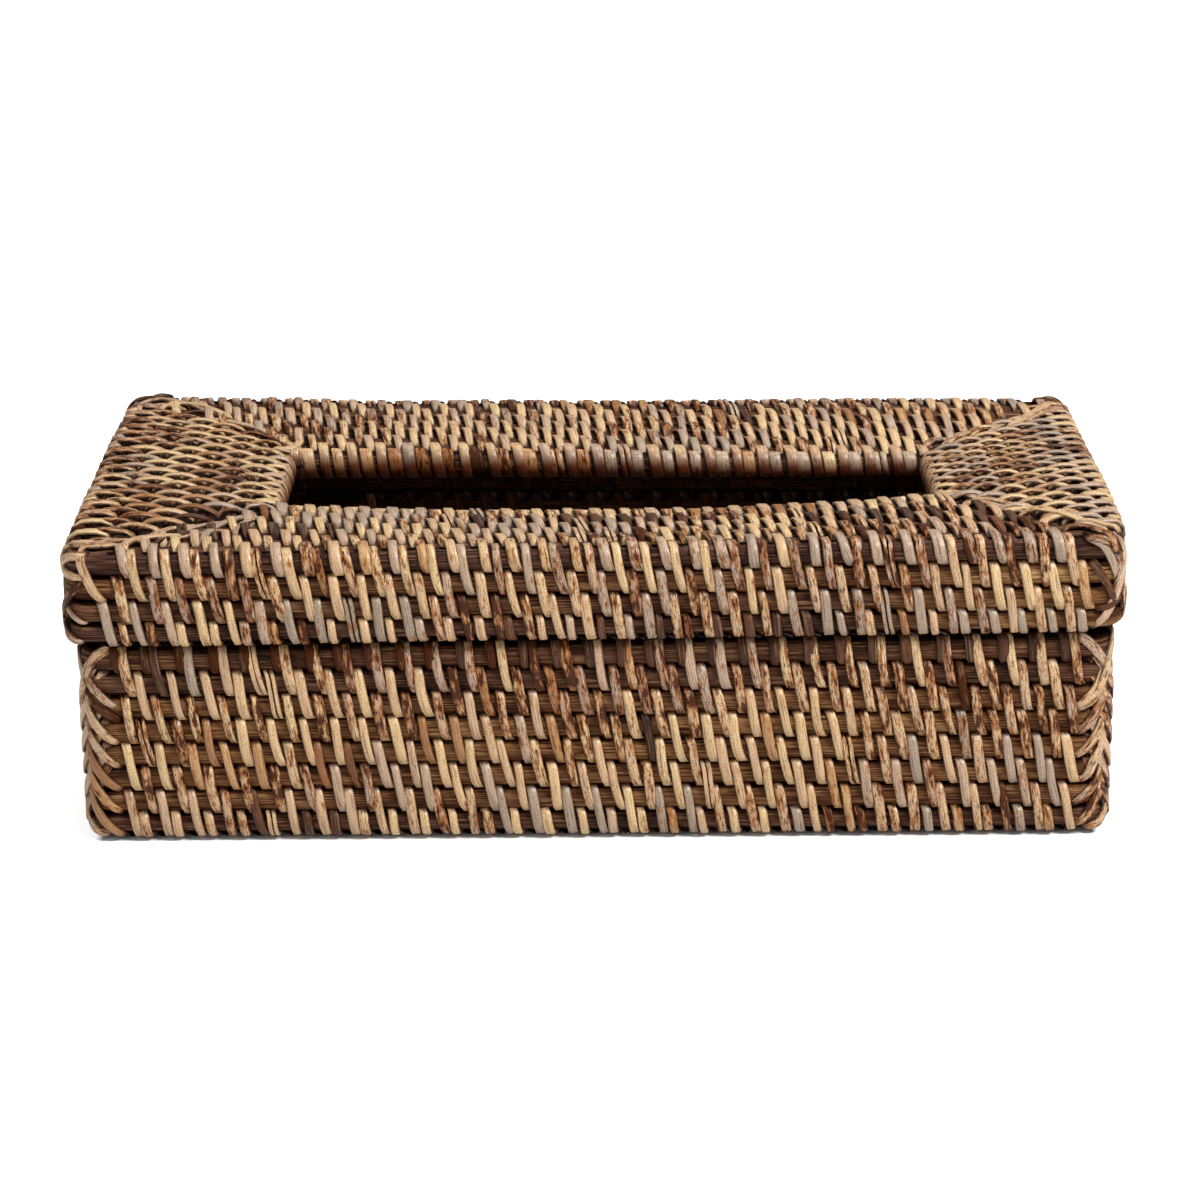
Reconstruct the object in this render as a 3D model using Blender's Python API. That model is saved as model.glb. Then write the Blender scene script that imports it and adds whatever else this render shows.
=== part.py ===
"""Tissue box cover of split cane: a base box with a locating collar, and a lift-off lid with a slot.

Metres, +Z up, +X along the length, front towards -Y. Every length of flat cane is one solid, and so is
each binding that laces a corner. The lid hangs from the empty lid_lift, which moves straight up.
"""

import math

import bmesh
import bpy

# Overall sizes, over the lashings
BOX_LENGTH = 0.270
BOX_DEPTH = 0.144
CORNER_RADIUS = 0.008

# Clearances and the thickness of a lashing strip
PIECE_GAP = 0.0003
LASH_THICKNESS = 0.0010

# Cane of the walls and the skirt, set on edge
WALL_CANE_THICKNESS = 0.0034
WALL_PITCH = 0.0065
WALL_COURSES = 8
SKIRT_PITCH = 0.0063
SKIRT_COURSES = 4
LID_OVERHANG = 0.0024

# Collar that rises from the base into the lid
COLLAR_CANE_THICKNESS = 0.0026
COLLAR_PITCH = 0.0062
COLLAR_COURSES = 2
COLLAR_CLEARANCE = 0.0012

# Top of the lid: flat canes round the slot, dished towards it
TOP_COURSES = 7
FRONT_PITCH = 0.0060
LEFT_PITCH = 0.0065
RIGHT_PITCH = 0.0055
TOP_CANE_THICKNESS = 0.0028
TOP_SAG = 0.0042
SAG_POWER = 1.3

# Cane on edge round the slot
RIM_THICKNESS = 0.0030
RIM_HEIGHT = 0.0064
RIM_CORNER_RADIUS = 0.0030

# Bottom panel
BOTTOM_THICKNESS = 0.0044
BOTTOM_RIB_HEIGHT = 0.0012
BOTTOM_RIBS = 20

# Laced bindings over the corners and the mitres
WALL_BINDING_ARM = 0.0095
SKIRT_BINDING_ARM = 0.0075
BINDING_STRAND_PITCH = 0.0066
BINDING_SLANT = 0.9
MITRE_BINDING_WIDTH = 0.0095
MITRE_STRAND_PITCH = 0.0075
MITRE_SLANT = 0.7

# Shares of the sizes that they follow
CANE_EDGE_SHARE = 0.55
VALLEY_SHARE = 0.45
NOTCH_SHARE = 0.22

# Mesh density
CORNER_STEPS = 4
ARCH_STEPS = 4
STRAND_STEPS = 4
ARM_STEPS = 2
BAND_STEPS = 4
RIB_STEPS = 4

# Sizes worked out from the ones above
BINDING_LIFT = PIECE_GAP + LASH_THICKNESS
HALF_LENGTH = BOX_LENGTH / 2
HALF_DEPTH = BOX_DEPTH / 2
SKIRT_INSET = BINDING_LIFT + WALL_CANE_THICKNESS
WALL_INSET = SKIRT_INSET + LID_OVERHANG
COLLAR_INSET = SKIRT_INSET + COLLAR_CLEARANCE + COLLAR_CANE_THICKNESS
WALL_TOP = BINDING_LIFT + WALL_COURSES * WALL_PITCH
TOP_LEVEL = WALL_TOP + SKIRT_COURSES * SKIRT_PITCH
TOP_INSET = SKIRT_INSET + PIECE_GAP / 2

CORNERS = {
    "front_left": (-1, -1),
    "front_right": (1, -1),
    "back_left": (-1, 1),
    "back_right": (1, 1),
}


def clear_scene():
    for obj in list(bpy.data.objects):
        bpy.data.objects.remove(obj)


def material(name, colour, roughness):
    made = bpy.data.materials.new(name)
    made.use_nodes = True
    shader = made.node_tree.nodes["Principled BSDF"]
    shader.inputs["Base Color"].default_value = colour
    shader.inputs["Roughness"].default_value = roughness
    shader.inputs["Metallic"].default_value = 0.0
    made.diffuse_color = colour
    return made


def add_object(name, mesh, colour, parent, height=0.0):
    """A named object of the mesh, its own material on it, at a height above its parent."""
    obj = bpy.data.objects.new(name, mesh)
    bpy.context.scene.collection.objects.link(obj)
    obj.parent = parent
    obj.location = (0.0, 0.0, height - (parent.location.z if parent else 0.0))
    if not mesh.materials:
        mesh.materials.append(colour)
    return obj


def mesh_from(name, bm, smooth):
    bmesh.ops.recalc_face_normals(bm, faces=bm.faces)
    for face in bm.faces:
        face.smooth = smooth
    mesh = bpy.data.meshes.new(name)
    bm.to_mesh(mesh)
    bm.free()
    return mesh


def arch(share):
    """Height of a half-round arch over its span, both as shares."""
    return math.sqrt(max(0.0, 1.0 - (2.0 * share - 1.0) ** 2))


def cane_section(thickness, height):
    """Outline of a split cane on edge: (out from its flat back, up), with the back's two corners first."""
    edge = thickness * CANE_EDGE_SHARE
    points = [(0.0, height), (0.0, 0.0)]
    for step in range(ARCH_STEPS + 1):
        share = step / ARCH_STEPS
        points.append((edge + (thickness - edge) * arch(share), height * share))
    return points


def corner_stations(half_x, half_y, radius):
    """Points round a rounded rectangle, as (corner centre, direction out)."""
    for quarter, (side_x, side_y) in enumerate([(1, 1), (-1, 1), (-1, -1), (1, -1)]):
        centre = (side_x * (half_x - radius), side_y * (half_y - radius))
        for step in range(CORNER_STEPS + 1):
            angle = math.radians(90.0) * (quarter + step / CORNER_STEPS)
            yield centre, (math.cos(angle), math.sin(angle))


def ring_mesh(name, back_half_x, back_half_y, back_radius, section, facing, middle_x=0.0):
    """A cane bent round a rounded rectangle. Its flat back follows the rectangle, and facing 1 turns the
    arched face outwards, -1 inwards."""
    bm = bmesh.new()
    loops = []
    for centre, out in corner_stations(back_half_x, back_half_y, back_radius):
        loop = []
        for away, up in section:
            reach = back_radius + facing * away
            loop.append(bm.verts.new((middle_x + centre[0] + reach * out[0], centre[1] + reach * out[1], up)))
        loops.append(loop)
    for first, second in zip(loops, loops[1:] + loops[:1]):
        for at in range(len(section)):
            after = (at + 1) % len(section)
            bm.faces.new((first[at], second[at], second[after], first[after]))
    return mesh_from(name, bm, True)


def wall_ring(name, inset, thickness, pitch):
    """One course of a wall: inset is the distance of its flat back from the lid's outside."""
    section = cane_section(thickness, pitch - PIECE_GAP)
    radius = CORNER_RADIUS - inset + BINDING_LIFT
    smallest = CORNER_RADIUS - SKIRT_INSET - LID_OVERHANG
    return ring_mesh(name, HALF_LENGTH - inset, HALF_DEPTH - inset, max(radius, smallest), section, 1)


def top_sag(course):
    """How far the top lies below its outer edge, at a distance from that edge counted in courses."""
    share = min(max(course, 0.0), TOP_COURSES) / TOP_COURSES
    return TOP_SAG * share**SAG_POWER


def x_left(course):
    return TOP_INSET - HALF_LENGTH + course * LEFT_PITCH


def x_right(course):
    return HALF_LENGTH - TOP_INSET - course * RIGHT_PITCH


def y_front(course):
    return TOP_INSET - HALF_DEPTH + course * FRONT_PITCH


def y_back(course):
    return -y_front(course)


LEFT_END = (x_left, LEFT_PITCH, 1.0)
RIGHT_END = (x_right, RIGHT_PITCH, -1.0)
FRONT_END = (y_front, FRONT_PITCH, 1.0)
BACK_END = (y_back, FRONT_PITCH, -1.0)
# Each side of the top: where its courses run, and the sides that its two mitred ends meet
SIDES = {
    "front": (FRONT_END, LEFT_END, RIGHT_END),
    "back": (BACK_END, LEFT_END, RIGHT_END),
    "left": (LEFT_END, FRONT_END, BACK_END),
    "right": (RIGHT_END, FRONT_END, BACK_END),
}


def mitre_end(end, course, number):
    """Where a mitre cuts a cane. The outermost cane's tips are cut back to clear the skirt's round corner."""
    position, pitch, inwards = end
    if number == 1:
        tip = (CORNER_RADIUS - WALL_CANE_THICKNESS) / pitch
        course = tip + (1.0 - tip) * course
    return position(course) + inwards * PIECE_GAP


def top_cane_mesh(name, side, number):
    """A flat cane of the top, with both ends cut along the mitres."""
    (position, pitch, _), *ends = SIDES[side]
    edge_gap = PIECE_GAP / 2 / pitch
    outer, inner = number - 1 + edge_gap, number - edge_gap
    outline = [(inner, TOP_CANE_THICKNESS), (outer, TOP_CANE_THICKNESS)]
    crown = TOP_CANE_THICKNESS * (1.0 - CANE_EDGE_SHARE)
    for step in range(ARCH_STEPS + 1):
        share = step / ARCH_STEPS
        outline.append((outer + (inner - outer) * share, crown * (1.0 - arch(share))))
    bm = bmesh.new()
    caps = []
    for end in ends:
        cap = []
        for course, below in outline:
            slope = (course - outer) / (inner - outer)
            level = -top_sag(number - 1) * (1.0 - slope) - top_sag(number) * slope
            place = (mitre_end(end, course, number), position(course), level - below)
            if side in ("left", "right"):
                place = (place[1], place[0], place[2])
            cap.append(bm.verts.new(place))
        caps.append(cap)
        bm.faces.new(cap)
    for at in range(len(outline)):
        after = (at + 1) % len(outline)
        bm.faces.new((caps[0][at], caps[1][at], caps[1][after], caps[0][after]))
    return mesh_from(name, bm, False)


def binding_mesh(name, rows, columns, place):
    """A laced band as one closed sheet. place(row, column, outer) gives the point of a grid corner on the
    band's inner or outer face."""
    bm = bmesh.new()
    sheets = []
    for outer in (False, True):
        sheets.append([[bm.verts.new(place(row, column, outer)) for column in range(columns + 1)]
                       for row in range(rows + 1)])
    for sheet in sheets:
        for row in range(rows):
            for column in range(columns):
                bm.faces.new((sheet[row][column], sheet[row][column + 1],
                              sheet[row + 1][column + 1], sheet[row + 1][column]))
    edge = [(0, column) for column in range(columns)]
    edge += [(row, columns) for row in range(rows)]
    edge += [(rows, column) for column in range(columns, 0, -1)]
    edge += [(row, 0) for row in range(rows, 0, -1)]
    inner, outer = sheets
    for (row, column), (next_row, next_column) in zip(edge, edge[1:] + edge[:1]):
        bm.faces.new((inner[row][column], inner[next_row][next_column],
                      outer[next_row][next_column], outer[row][column]))
    return mesh_from(name, bm, True)


def ridge(strand):
    """Rise of a laced strand above the valley between strands, with the place counted in strands."""
    return abs(2.0 * (strand - math.floor(strand)) - 1.0)


def strand_lift(strand):
    share = VALLEY_SHARE + (1.0 - VALLEY_SHARE) * ridge(strand)
    return PIECE_GAP + LASH_THICKNESS * share


def corner_binding_mesh(name, corner, inset, arm, low, high):
    """A band laced round a vertical corner from low to high, its strands slanting down to both sides.
    inset is the distance of the canes' arched faces from the lid's outside."""
    side_x, side_y = CORNERS[corner]
    radius = CORNER_RADIUS - inset + BINDING_LIFT
    centre_x = HALF_LENGTH - inset - radius
    centre_y = HALF_DEPTH - inset - radius
    strands = round((high - low) / BINDING_STRAND_PITCH)
    rows = strands * STRAND_STEPS
    columns = 2 * ARM_STEPS + CORNER_STEPS

    def place(row, column, outer):
        along = row / STRAND_STEPS
        notch = 1.0 - NOTCH_SHARE * ridge(along)
        if column < ARM_STEPS:
            straight, turn = arm * notch * (1.0 - column / ARM_STEPS), 0.0
        elif column > ARM_STEPS + CORNER_STEPS:
            straight, turn = arm * notch * (column - ARM_STEPS - CORNER_STEPS) / ARM_STEPS, 1.0
        else:
            straight, turn = 0.0, (column - ARM_STEPS) / CORNER_STEPS
        middle = abs(column - columns / 2) / (columns / 2)
        lift = strand_lift(along + BINDING_SLANT * middle) if outer else PIECE_GAP
        angle = math.radians(90.0) * turn
        reach = radius + lift
        x = centre_x + reach * math.cos(angle) - (straight if turn == 1.0 else 0.0)
        y = centre_y + reach * math.sin(angle) - (straight if turn == 0.0 else 0.0)
        return side_x * x, side_y * y, low + (high - low) * row / rows

    return binding_mesh(name, rows, columns, place)


def mitre_binding_mesh(name, corner):
    """A band laced over a mitre of the top, from the skirt's corner to the slot rim."""
    side_x, side_y = CORNERS[corner]
    end_x = x_left if side_x < 0 else x_right
    end_y = y_front if side_y < 0 else y_back
    pitch_x = LEFT_PITCH if side_x < 0 else RIGHT_PITCH
    run = math.hypot(pitch_x, FRONT_PITCH)
    normal = (FRONT_PITCH / run, pitch_x / run)
    first = -(WALL_CANE_THICKNESS - CORNER_RADIUS * (1.0 - math.sqrt(1 / 2))) / max(pitch_x, FRONT_PITCH)
    last = TOP_COURSES + RIM_THICKNESS / 2 / max(pitch_x, FRONT_PITCH)
    strands = round((last - first) * run / MITRE_STRAND_PITCH)
    rows = strands * STRAND_STEPS

    def place(row, column, outer):
        along = row / STRAND_STEPS
        course = first + (last - first) * row / rows
        across = 2.0 * column / BAND_STEPS - 1.0
        notch = 1.0 - NOTCH_SHARE * ridge(along)
        taper = min(1.0, (course - first + 1.0) / 2.0, (last - course + 1.0) / 2.0)
        aside = across * notch * taper * MITRE_BINDING_WIDTH / 2
        x = end_x(course) - side_x * aside * normal[0]
        y = end_y(course) + side_y * aside * normal[1]
        shift = abs(aside) * max(normal) / min(pitch_x, FRONT_PITCH)
        lift = strand_lift(along + MITRE_SLANT * across) if outer else PIECE_GAP
        return x, y, lift - top_sag(course - shift)

    return binding_mesh(name, rows, BAND_STEPS, place)


def bottom_mesh(name, half_x, half_y):
    """The bottom panel before its corners are rounded: flat below, one rib on top for each cane."""
    outline = [(half_y, 0.0), (-half_y, 0.0)]
    valley = BOTTOM_THICKNESS - BOTTOM_RIB_HEIGHT
    for rib in range(BOTTOM_RIBS):
        for step in range(RIB_STEPS + (rib == BOTTOM_RIBS - 1)):
            share = (rib + step / RIB_STEPS) / BOTTOM_RIBS
            rise = arch(step / RIB_STEPS)
            outline.append((half_y * (2.0 * share - 1.0), valley + BOTTOM_RIB_HEIGHT * rise))
    bm = bmesh.new()
    cap = bm.faces.new([bm.verts.new((-half_x, y, z)) for y, z in outline])
    made = bmesh.ops.extrude_face_region(bm, geom=[cap])
    moved = [item for item in made["geom"] if isinstance(item, bmesh.types.BMVert)]
    bmesh.ops.translate(bm, verts=moved, vec=(2 * half_x, 0.0, 0.0))
    return mesh_from(name, bm, False)


def rounded_block_mesh(name, half_x, half_y, radius, low, high):
    """An upright block on a rounded rectangle."""
    bm = bmesh.new()
    floor = []
    for centre, out in corner_stations(half_x, half_y, radius):
        floor.append(bm.verts.new((centre[0] + radius * out[0], centre[1] + radius * out[1], low)))
    made = bmesh.ops.extrude_face_region(bm, geom=[bm.faces.new(floor)])
    moved = [item for item in made["geom"] if isinstance(item, bmesh.types.BMVert)]
    bmesh.ops.translate(bm, verts=moved, vec=(0.0, 0.0, high - low))
    return mesh_from(name, bm, False)


def add_bottom(colour, parent):
    inset = WALL_INSET + PIECE_GAP
    half_x, half_y = HALF_LENGTH - inset, HALF_DEPTH - inset
    panel = add_object("bottom_panel", bottom_mesh("bottom_panel", half_x, half_y), colour, parent)
    radius = CORNER_RADIUS - SKIRT_INSET - LID_OVERHANG + BINDING_LIFT
    block = rounded_block_mesh("bottom_outline", half_x, half_y, radius, -BOTTOM_THICKNESS, 2 * BOTTOM_THICKNESS)
    outline = add_object("bottom_outline", block, colour, parent)
    outline.hide_render = True
    outline.display_type = "WIRE"
    cut = panel.modifiers.new("rounded corners", "BOOLEAN")
    cut.operation = "INTERSECT"
    cut.solver = "EXACT"
    cut.object = outline


def add_base(cane, lacing):
    base = bpy.data.objects.new("base_frame", None)
    bpy.context.scene.collection.objects.link(base)
    add_bottom(cane, base)
    wall = wall_ring("wall_cane", WALL_INSET, WALL_CANE_THICKNESS, WALL_PITCH)
    for course in range(WALL_COURSES):
        add_object(f"wall_cane_{course + 1}", wall, cane, base, BINDING_LIFT + course * WALL_PITCH)
    collar = wall_ring("collar_cane", COLLAR_INSET, COLLAR_CANE_THICKNESS, COLLAR_PITCH)
    for course in range(COLLAR_COURSES):
        add_object(f"collar_cane_{course + 1}", collar, cane, base, WALL_TOP + course * COLLAR_PITCH)
    for corner in CORNERS:
        mesh = corner_binding_mesh(
            "base_binding", corner, LID_OVERHANG + BINDING_LIFT, WALL_BINDING_ARM, 0.0, WALL_TOP - PIECE_GAP)
        add_object(f"base_corner_binding_{corner}", mesh, lacing, base)


def add_lid(cane, lacing):
    lift = bpy.data.objects.new("lid_lift", None)
    bpy.context.scene.collection.objects.link(lift)
    lift.location = (0.0, 0.0, WALL_TOP)
    skirt = wall_ring("skirt_cane", SKIRT_INSET, WALL_CANE_THICKNESS, SKIRT_PITCH)
    for course in range(SKIRT_COURSES):
        name = f"skirt_cane_{SKIRT_COURSES - course}"
        add_object(name, skirt, cane, lift, WALL_TOP + course * SKIRT_PITCH)
    for side in SIDES:
        for number in range(1, TOP_COURSES + 1):
            name = f"top_cane_{side}_{number}"
            add_object(name, top_cane_mesh(name, side, number), cane, lift, TOP_LEVEL)
    add_slot_rim(cane, lift)
    for corner in CORNERS:
        mesh = corner_binding_mesh(
            "lid_binding", corner, BINDING_LIFT, SKIRT_BINDING_ARM, WALL_TOP, TOP_LEVEL)
        add_object(f"lid_corner_binding_{corner}", mesh, lacing, lift)
        name = f"mitre_binding_{corner}"
        add_object(name, mitre_binding_mesh(name, corner), lacing, lift, TOP_LEVEL)


def add_slot_rim(cane, parent):
    left, right = x_left(TOP_COURSES) + PIECE_GAP / 2, x_right(TOP_COURSES) - PIECE_GAP / 2
    half_y = y_back(TOP_COURSES) - PIECE_GAP / 2
    section = cane_section(RIM_THICKNESS, RIM_HEIGHT)
    radius = RIM_CORNER_RADIUS + RIM_THICKNESS
    mesh = ring_mesh("slot_rim_cane", (right - left) / 2, half_y, radius, section, -1, (left + right) / 2)
    add_object("slot_rim_cane", mesh, cane, parent, TOP_LEVEL - TOP_SAG - RIM_HEIGHT)


def main():
    clear_scene()
    cane = material("split_cane", (0.085, 0.050, 0.032, 1.0), 0.55)
    lacing = material("peeled_lacing", (0.50, 0.38, 0.24, 1.0), 0.45)
    add_base(cane, lacing)
    add_lid(cane, lacing)


main()
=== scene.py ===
"""Looks of the split-cane tissue box cover: every cane, every lashing strip and the laced corners."""

import math

import bpy
import numpy as np
from mathutils import Matrix, Vector


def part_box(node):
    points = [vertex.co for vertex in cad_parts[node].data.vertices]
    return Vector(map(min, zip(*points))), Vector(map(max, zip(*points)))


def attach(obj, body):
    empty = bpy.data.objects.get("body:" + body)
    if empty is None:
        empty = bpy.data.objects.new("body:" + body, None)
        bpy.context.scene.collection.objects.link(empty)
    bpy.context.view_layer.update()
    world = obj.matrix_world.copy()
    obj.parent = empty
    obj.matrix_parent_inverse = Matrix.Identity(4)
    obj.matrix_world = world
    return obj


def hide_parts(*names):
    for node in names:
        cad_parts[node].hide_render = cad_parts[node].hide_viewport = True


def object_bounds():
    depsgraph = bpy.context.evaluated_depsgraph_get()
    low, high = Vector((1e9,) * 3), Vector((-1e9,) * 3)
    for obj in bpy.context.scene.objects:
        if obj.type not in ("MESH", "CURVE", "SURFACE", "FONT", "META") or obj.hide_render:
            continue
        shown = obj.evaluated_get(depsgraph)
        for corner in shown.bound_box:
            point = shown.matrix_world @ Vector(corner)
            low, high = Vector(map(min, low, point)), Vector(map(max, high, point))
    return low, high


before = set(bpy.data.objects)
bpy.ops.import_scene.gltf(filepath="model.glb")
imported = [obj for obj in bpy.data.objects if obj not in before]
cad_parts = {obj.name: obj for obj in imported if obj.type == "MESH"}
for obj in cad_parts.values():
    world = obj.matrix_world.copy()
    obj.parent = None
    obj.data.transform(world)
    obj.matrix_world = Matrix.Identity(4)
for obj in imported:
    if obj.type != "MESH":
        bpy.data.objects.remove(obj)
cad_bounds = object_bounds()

MM = 0.001
random = np.random.default_rng(4127)

# Frame of each side, seen from outside: the way along it to the right, and the way in to the box's middle
SIDES = {
    "front": ((1.0, 0.0), (0.0, 1.0)),
    "right": ((0.0, 1.0), (-1.0, 0.0)),
    "back": ((-1.0, 0.0), (0.0, -1.0)),
    "left": ((0.0, -1.0), (1.0, 0.0)),
}
SIDE_NAMES = list(SIDES)
# The box's ends, where the top is a panel of fine short rows
SHORT_SIDES = ("left", "right")
# Cane of each wall that its strips are measured from
WALL, SKIRT, COLLAR = "wall_cane_1", "skirt_cane_1", "collar_cane_1"
WALL_COURSES = 8
SKIRT_COURSES = 4
COLLAR_COURSES = 2
TOP_COURSES = 7
BOTTOM_CANES = 20

# Canes: flat back to crown
WALL_CANE = 3.4 * MM
COLLAR_CANE = 2.6 * MM
COLLAR_CROWN = 2.2 * MM
TOP_CANE = 2.8 * MM
RIM_CANE = 3.0 * MM
RIM_CROWN = 2.2 * MM
BOTTOM_CROWN = 2.6 * MM
CANE_GAP = 0.35 * MM
CORNER_RADIUS = 6.7 * MM
EDGE_RADIUS = 2.6 * MM
SAG_POWER = 1.3
# Free edges of canes stand back by this much, so that the strips wrapped round them fit in
WRAP = 0.8 * MM
# Place across a cane up to which no painted groove shade darkens it, for the uppermost one's free edge
OPEN_EDGE = 0.8
# How far a cane wavers in and out, and up and down
CANE_SWAY = 0.12 * MM
CANE_DIP = 0.10 * MM
# Tone of each cane, the wall's from the lowest and the skirt's from the uppermost: 0 is dark purple-brown,
# 1 a pale yellow-brown
WALL_CANE_TONES = (0.28, 0.50, 0.58, 0.60, 0.66, 0.52, 0.26, 0.34)
SKIRT_CANE_TONES = (0.14, 0.50, 0.36, 0.22)
# How much lighter the skirt's canes are near the front right corner, and where that is
SKIRT_CANE_PALENESS = (0.1, 0.45, 0.35, 0.6)
PALE_PLACE = 112.0 * MM
PALE_REACH = 26.0 * MM

# Lashing strips
STRIP_WIDTH = 2.5 * MM
STRIP_THICKNESS = 0.72 * MM
INNER_THICKNESS = 0.45 * MM
RIM_WIDTH = 3.2 * MM
SHORT_RIM_BREADTH = 1.12
# Lattice of the strips on a wall's sides: their pitch, and how far the middle one is from a side's middle
BASE_LATTICE = (7.985 * MM, 1.42 * MM)
LID_LATTICE = (7.543 * MM, -0.86 * MM)
LEAN = 0.165
PANEL_LEAN = 0.03
RIM_LEAN = 0.17
# How far a strip's ends hook sideways into the gaps, and the shares of its length that do
HOOK = 1.1 * MM
START_HOOK = 0.28
END_HOOK = 0.24
# How far strips stray from their row's lean, bow sideways, and stray from even spacing, finer on the top
LEAN_STRAY = 0.032
BOW = 0.20 * MM
ROW_STRAY = 0.22 * MM
TOP_STRAY = 0.10 * MM
SHIFT_STRAY = 0.03
# Slow drift of the spacing along a row, as (reach, waves along, start)
DRIFTS = ((0.55 * MM, 74.0, 1.3), (0.4 * MM, 29.0, 4.0))
# Share of the strips that are split in two along their length
SPLIT_SHARE = 0.03
# How much more the strips at the lid's edge are worn, how broad the crest's are, and how narrow the hem's
EDGE_WEAR = 1.12
CREST_BREADTH = 1.12
HEM_BREADTH = 0.92
# How much further out the slot's left end lies in the real lid
SLOT_LEFT_REACH = 1.0 * MM

# Where the rows of lashing stop short of the corners
BASE_ENDS = (9.6 * MM, 9.3 * MM)
BROW_ENDS = (16.0 * MM, 12.0 * MM)
LID_ENDS = (9.4 * MM, 9.4 * MM)
TOP_END = 2.6 * MM
BACK_EDGE_END = 0.8 * MM
PANEL_END = 1.6 * MM
CREST_ENDS = {"front": 2.6 * MM, "right": 2.2 * MM, "back": -1.4 * MM, "left": 1.2 * MM}
BOTTOM_END = 6.0 * MM

STRIP_STATIONS = 10
STRAND_STATIONS = 30
CANE_STATIONS = 104
SHORT_CANE_STATIONS = 24

# What hand weaving has done to the shape: the twist of the top's corners, its rise towards the front, the
# lift of the lid's hem and of the base's rim, and how much shorter the box came out
TWIST = 1.7 * MM
FRONT_RISE = 0.4 * MM
HEM_RISE = 1.28 * MM
WALL_SINKING = -0.35 * MM
RIM_RISE = 0.5 * MM
LENGTH_SHARE = 0.995
# Slow waves of the box's height and of its breadth
HEIGHT_WAVE = 0.20 * MM
BREADTH_WAVE = 0.30 * MM
# Unevenness of the top along four lines from front to back, as (y, ((x, lift), ...)) in mm
UNEVEN_TOP = (
    (-71.0, ((-125.0, 0.5), (-60.0, 0.1), (0.0, 0.0), (60.0, 0.2), (120.0, 0.2))),
    (-24.5, ((-84.0, 1.7), (-76.0, 1.0), (-50.0, 0.0), (-20.0, -0.8), (12.0, -1.2), (29.0, -1.0),
             (43.0, -0.2), (64.0, 0.7), (76.0, 1.6), (86.0, 2.3), (120.0, 1.8))),
    (24.5, ((-74.0, 2.1), (-27.0, 1.8), (15.0, 1.0), (56.0, 0.6), (80.0, 0.6))),
    (70.0, ((-130.0, 0.0), (-86.0, 0.0), (-57.0, -1.0), (0.0, -0.6), (58.0, 0.0), (100.0, 0.6))),
)


def deselect():
    bpy.ops.object.select_all(action="DESELECT")


def add_object(name, data):
    made = bpy.data.objects.new(name, data)
    bpy.context.scene.collection.objects.link(made)
    return made


def select_long_edges(mesh, upper_only):
    for edge in mesh.edges:
        first, second = (mesh.vertices[at].co for at in edge.vertices)
        edge.select = abs(first.x - second.x) > 0.5 and (first.z > 0.001 or not upper_only)


def model_bar(name, stations, depth_share, rounding_share, rounds):
    """A straight bar, 1 long and 1 wide, lying on its back, with both upper long edges rounded over and its
    length divided into stations. Strips and canes are bent from copies of it."""
    deselect()
    bpy.ops.mesh.primitive_cube_add(size=1.0, location=(0.5, 0.0, depth_share / 2),
                                    scale=(1.0, 1.0, depth_share))
    bar = bpy.context.object
    bar.name = name
    bpy.ops.object.transform_apply(location=True, rotation=True, scale=True)
    bpy.ops.object.mode_set(mode="EDIT")
    bpy.ops.mesh.select_mode(type="EDGE")
    bpy.ops.mesh.select_all(action="DESELECT")
    bpy.ops.object.mode_set(mode="OBJECT")
    select_long_edges(bar.data, True)
    bpy.ops.object.mode_set(mode="EDIT")
    bpy.ops.mesh.bevel(offset=rounding_share, segments=rounds, profile=0.5)
    bpy.ops.mesh.select_all(action="DESELECT")
    bpy.ops.object.mode_set(mode="OBJECT")
    select_long_edges(bar.data, False)
    bpy.ops.object.mode_set(mode="EDIT")
    bpy.ops.mesh.subdivide(number_cuts=stations - 1)
    bpy.ops.mesh.select_all(action="SELECT")
    bpy.ops.mesh.normals_make_consistent(inside=False)
    bpy.ops.object.mode_set(mode="OBJECT")
    return bar


def eased(count, easing):
    """Shares from 0 to 1 that crowd together at both ends."""
    even = np.linspace(0.0, 1.0, count + 1)
    return (1.0 - easing) * even + easing * (0.5 - 0.5 * np.cos(np.pi * even))


class Bar:
    """The vertices and faces of a modelled bar, read once, so that copies can be bent and laid."""

    def __init__(self, name, stations, depth_share, rounding_share, rounds, easing=0.0):
        bar = model_bar(name, stations, depth_share, rounding_share, rounds)
        mesh = bar.data
        points = np.empty(len(mesh.vertices) * 3)
        mesh.vertices.foreach_get("co", points)
        points = points.reshape(-1, 3)
        self.loops = np.empty(len(mesh.loops), np.int32)
        mesh.loops.foreach_get("vertex_index", self.loops)
        self.starts = np.empty(len(mesh.polygons), np.int32)
        mesh.polygons.foreach_get("loop_start", self.starts)
        self.station = np.rint(points[:, 0] * stations).astype(int)
        self.across = points[:, 1]
        self.height = points[:, 2] / depth_share
        self.shares = eased(stations, easing)
        bpy.data.objects.remove(bar)
        bpy.data.meshes.remove(mesh)


STRIP = Bar("strip", STRIP_STATIONS, 0.28, 0.15, 1, 0.55)
STRAND = Bar("strand", STRAND_STATIONS, 0.28, 0.16, 2)
CANE = Bar("cane", CANE_STATIONS, 0.76, 0.485, 4)
SHORT_CANE = Bar("short_cane", SHORT_CANE_STATIONS, 0.76, 0.485, 4)
# Place along for the painted shade at tucked-in ends: corner strands go in steeply, and the rim's strips
# are painted dark far up out of the slot, as painted shade of the slot
STRAND_SHADE_ALONG = np.interp(STRAND.shares, (0.0, 0.09, 0.91, 1.0), (0.0, 0.17, 0.86, 1.0))
RIM_SHADE_ALONG = np.interp(STRIP.shares, (0.0, 0.28, 0.52, 1.0), (0.0, 0.075, 0.14, 1.0))


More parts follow.
